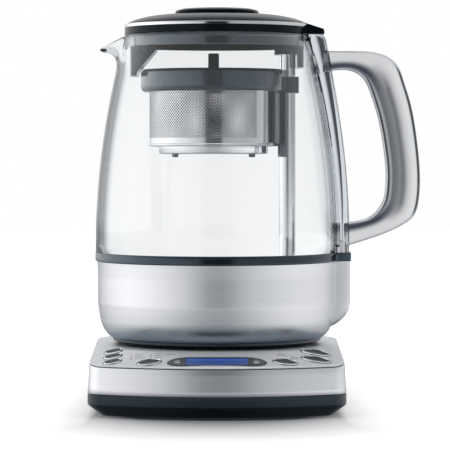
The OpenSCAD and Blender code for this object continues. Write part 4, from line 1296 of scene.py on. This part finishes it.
def mirrored_light(tree, turn, x, height):
    """What gloss mirrors: a photographer's set with a dark strip and soft grey in front, bright
    sides, a white backdrop and a dark ceiling with one overhead light."""
    light = lit_from_left(tree, ramp_of(tree, turn, by_degrees(MIRRORED_AROUND)), x)
    below = ramp_of(tree, math_node(tree, "ADD", height, 0.5), ((0.47, 1.0), (0.49, 0.0)))
    light = mix_colours(tree, below, light, ramp_of(tree, turn, by_degrees(MIRRORED_LOW)))
    front, back = (ramp_of(tree, height, stops) for stops in (MIRRORED_ABOVE_FRONT, MIRRORED_ABOVE))
    behind = ramp_of(tree, turn, by_degrees(((0, 0.0), (40, 0.0), (100, 1.0))))
    rising = ramp_of(tree, height, ((0.0, 0.0), (0.26, 0.0), (0.42, 1.0)))
    light = mix_colours(tree, rising, light, mix_colours(tree, behind, front, back))
    deep = ramp_of(tree, math_node(tree, "ADD", height, 1.0), MIRRORED_DEEP)
    return cooled(tree, mix_colours(tree, deep, light, DARK))


def glass_light(tree, turn, height):
    """What shows through glass: white, with dark strips at both sides that end above and below."""
    strips = ramp_of(tree, turn, by_degrees(THROUGH_GLASS))
    away = math_node(tree, "ABSOLUTE", height)
    steep = ramp_of(tree, away, ((0.0, 0.0), (0.13, 0.0), (0.23, 1.0)))
    return cooled(tree, mix_colours(tree, steep, strips, STEEP_IN_GLASS))


def world_light():
    """White for the camera, and a light of its own for gloss, for glass and for dull surfaces."""
    world = bpy.data.worlds.new("Studio")
    bpy.context.scene.world = world
    world.use_nodes = True
    tree = world.node_tree
    path = tree.nodes.new("ShaderNodeLightPath").outputs
    coords = tree.nodes.new("ShaderNodeTexCoord")
    split = tree.nodes.new("ShaderNodeSeparateXYZ")
    tree.links.new(coords.outputs["Generated"], split.inputs[0])
    x, y, height = split.outputs
    turn = math_node(tree, "ARCTAN2", x, math_node(tree, "MULTIPLY", y, -1.0))
    turn = math_node(tree, "DIVIDE", math_node(tree, "ABSOLUTE", turn), math.pi)
    mirrored = mirrored_light(tree, turn, x, height)
    # glossy things behind glass mirror the set too, and dull ones get an even light
    deep = math_node(tree, "GREATER_THAN", path["Transmission Depth"], 2.5)
    glossy = math_node(tree, "MULTIPLY", deep, path["Glossy Depth"])
    glossy = math_node(tree, "GREATER_THAN", glossy, 0.5)
    beyond = mix_colours(tree, glossy, glass_light(tree, turn, height), mirrored)
    dull = math_node(tree, "GREATER_THAN", path["Diffuse Depth"], 0.5)
    beyond = mix_colours(tree, dull, beyond, DULL_IN_GLASS)
    light = mix_colours(tree, path["Is Glossy Ray"], DULL_LIGHT, mirrored)
    light = mix_colours(tree, path["Is Transmission Ray"], light, beyond)
    light = mix_colours(tree, path["Is Camera Ray"], light, (1, 1, 1, 1))
    tree.links.new(light, tree.nodes["Background"].inputs["Color"])


def floor_material():
    """A pale floor with a painted glow that turns it white for the camera, fading out near the tea
    maker into a painted pool of soft shade.
    """
    material, tree, shader = new_material("Pale floor")
    cloud = noise(tree, (6, 6, 6), 2)
    shade = mix_colours(tree, cloud, (0.64, 0.64, 0.65, 1), (0.68, 0.68, 0.68, 1))
    place = tree.nodes.new("ShaderNodeTexCoord").outputs["Object"]
    length = tree.nodes.new("ShaderNodeVectorMath")
    length.operation = "LENGTH"
    tree.links.new(vector_math(tree, "MULTIPLY", place, FLOOR_STRETCH), length.inputs[0])
    split = tree.nodes.new("ShaderNodeSeparateXYZ")
    tree.links.new(place, split.inputs[0])
    far = ramp_of(tree, length.outputs["Value"], FLOOR_SHADE)
    aside = ramp_of(tree, math_node(tree, "ABSOLUTE", split.outputs["X"]), FLOOR_ASIDE)
    far = math_node(tree, "MAXIMUM", far, aside)
    far = math_node(tree, "MAXIMUM", far, ramp_of(tree, split.outputs["Y"], FLOOR_BEHIND))
    path = tree.nodes.new("ShaderNodeLightPath")
    # painted glow for the camera only, faded by distance into a painted shade round the base
    glow = math_node(tree, "MULTIPLY", path.outputs["Is Camera Ray"], far)
    fill(tree, shader, Base_Color=shade, Roughness=0.8, Specular_IOR_Level=0.0)
    fill(tree, shader, Emission_Color=(1, 1, 1, 1), Emission_Strength=glow)
    return material


def lay_floor():
    """A wide floor that is only there for the picture."""
    mesh = bpy.data.meshes.new("floor")
    mesh.from_pydata([(-4, -4, 0), (4, -4, 0), (4, 4, 0), (-4, 4, 0)], [], [(0, 1, 2, 3)])
    mesh.materials.append(floor_material())
    floor = bpy.data.objects.new("floor", mesh)
    floor.location = (AXIS.x, AXIS.y, 0)
    bpy.context.scene.collection.objects.link(floor)
    floor.visible_glossy = False
    floor.visible_transmission = False


def soft_lamp(name, place, width, height, power):
    """A lamp turned to the tea maker, which gloss and glass don't show."""
    lamp = bpy.data.lights.new(name, "AREA")
    lamp.shape = "RECTANGLE"
    lamp.size, lamp.size_y, lamp.energy = width, height, power
    holder = bpy.data.objects.new(name, lamp)
    bpy.context.scene.collection.objects.link(holder)
    holder.location = place
    aim = Vector((AXIS.x, AXIS.y, 0.14)) - holder.location
    holder.rotation_euler = aim.to_track_quat("-Z", "Y").to_euler()
    holder.visible_glossy = False
    holder.visible_transmission = False


def set_camera():
    """Places the camera where the photo was taken from."""
    lens = bpy.data.cameras.new("camera")
    lens.lens, lens.sensor_width = LENS, SENSOR
    lens.clip_start, lens.clip_end = 0.05, 20
    camera = bpy.data.objects.new("camera", lens)
    bpy.context.scene.collection.objects.link(camera)
    camera.location = (AXIS.x, AXIS.y - CAMERA_DISTANCE, CAMERA_HEIGHT)
    focal = PHOTO_WIDTH * LENS / SENSOR
    pitch, yaw = math.atan(LEVEL_ABOVE / focal), -math.atan(AXIS_LEFT / focal)
    camera.rotation_euler = (math.pi / 2 - pitch, 0, yaw)
    bpy.context.scene.camera = camera


class TEAMAKER_OT_stage(bpy.types.Operator):
    """Sets the floor, the lamps, the surroundings and the camera"""

    bl_idname = "teamaker.stage"
    bl_label = "Stage"

    def execute(self, context):
        context.scene.view_settings.view_transform = "Standard"
        world_light()
        lay_floor()
        soft_lamp("lamp_left", (-1.0, -0.5, 1.1), 0.9, 0.9, 3.4)
        soft_lamp("lamp_right", (1.0, -0.5, 1.1), 0.9, 0.9, 2.6)
        soft_lamp("lamp_back", (0.0, 0.9, 1.3), 1.6, 0.8, 5)
        set_camera()
        return {"FINISHED"}


class TEAMAKER_PT_panel(bpy.types.Panel):
    """Lists the pieces of the tea maker with its sizes and colours"""

    bl_idname = "TEAMAKER_PT_panel"
    bl_label = "Tea maker"
    bl_space_type = "VIEW_3D"
    bl_region_type = "UI"
    bl_category = "Tea maker"

    def draw(self, context):
        for group in (context.scene.tea_maker_sizes, context.scene.tea_maker_colours):
            for name in type(group).__annotations__:
                self.layout.prop(group, name)
        for operator in OPERATORS:
            self.layout.operator(operator.bl_idname)


OPERATORS = (
    TEAMAKER_OT_base,
    TEAMAKER_OT_panel,
    TEAMAKER_OT_display,
    TEAMAKER_OT_keys,
    TEAMAKER_OT_shell,
    TEAMAKER_OT_glass,
    TEAMAKER_OT_handle,
    TEAMAKER_OT_post,
    TEAMAKER_OT_basket,
    TEAMAKER_OT_lid,
    TEAMAKER_OT_kept_parts,
    TEAMAKER_OT_stage,
)


def register():
    for cls in (TeaMakerSizes, TeaMakerColours, *OPERATORS, TEAMAKER_PT_panel):
        bpy.utils.register_class(cls)
    bpy.types.Scene.tea_maker_sizes = bpy.props.PointerProperty(type=TeaMakerSizes)
    bpy.types.Scene.tea_maker_colours = bpy.props.PointerProperty(type=TeaMakerColours)


def unregister():
    del bpy.types.Scene.tea_maker_colours
    del bpy.types.Scene.tea_maker_sizes
    for cls in reversed((TeaMakerSizes, TeaMakerColours, *OPERATORS, TEAMAKER_PT_panel)):
        bpy.utils.unregister_class(cls)


def main():
    register()
    for leftover in ("Cube", "Light", "Camera"):
        if leftover in bpy.data.objects:
            bpy.data.objects.remove(bpy.data.objects[leftover])
    make_finishes()
    for operator in OPERATORS:
        group, name = operator.bl_idname.split(".")
        getattr(getattr(bpy.ops, group), name)()


if __name__ == "__main__":
    main()
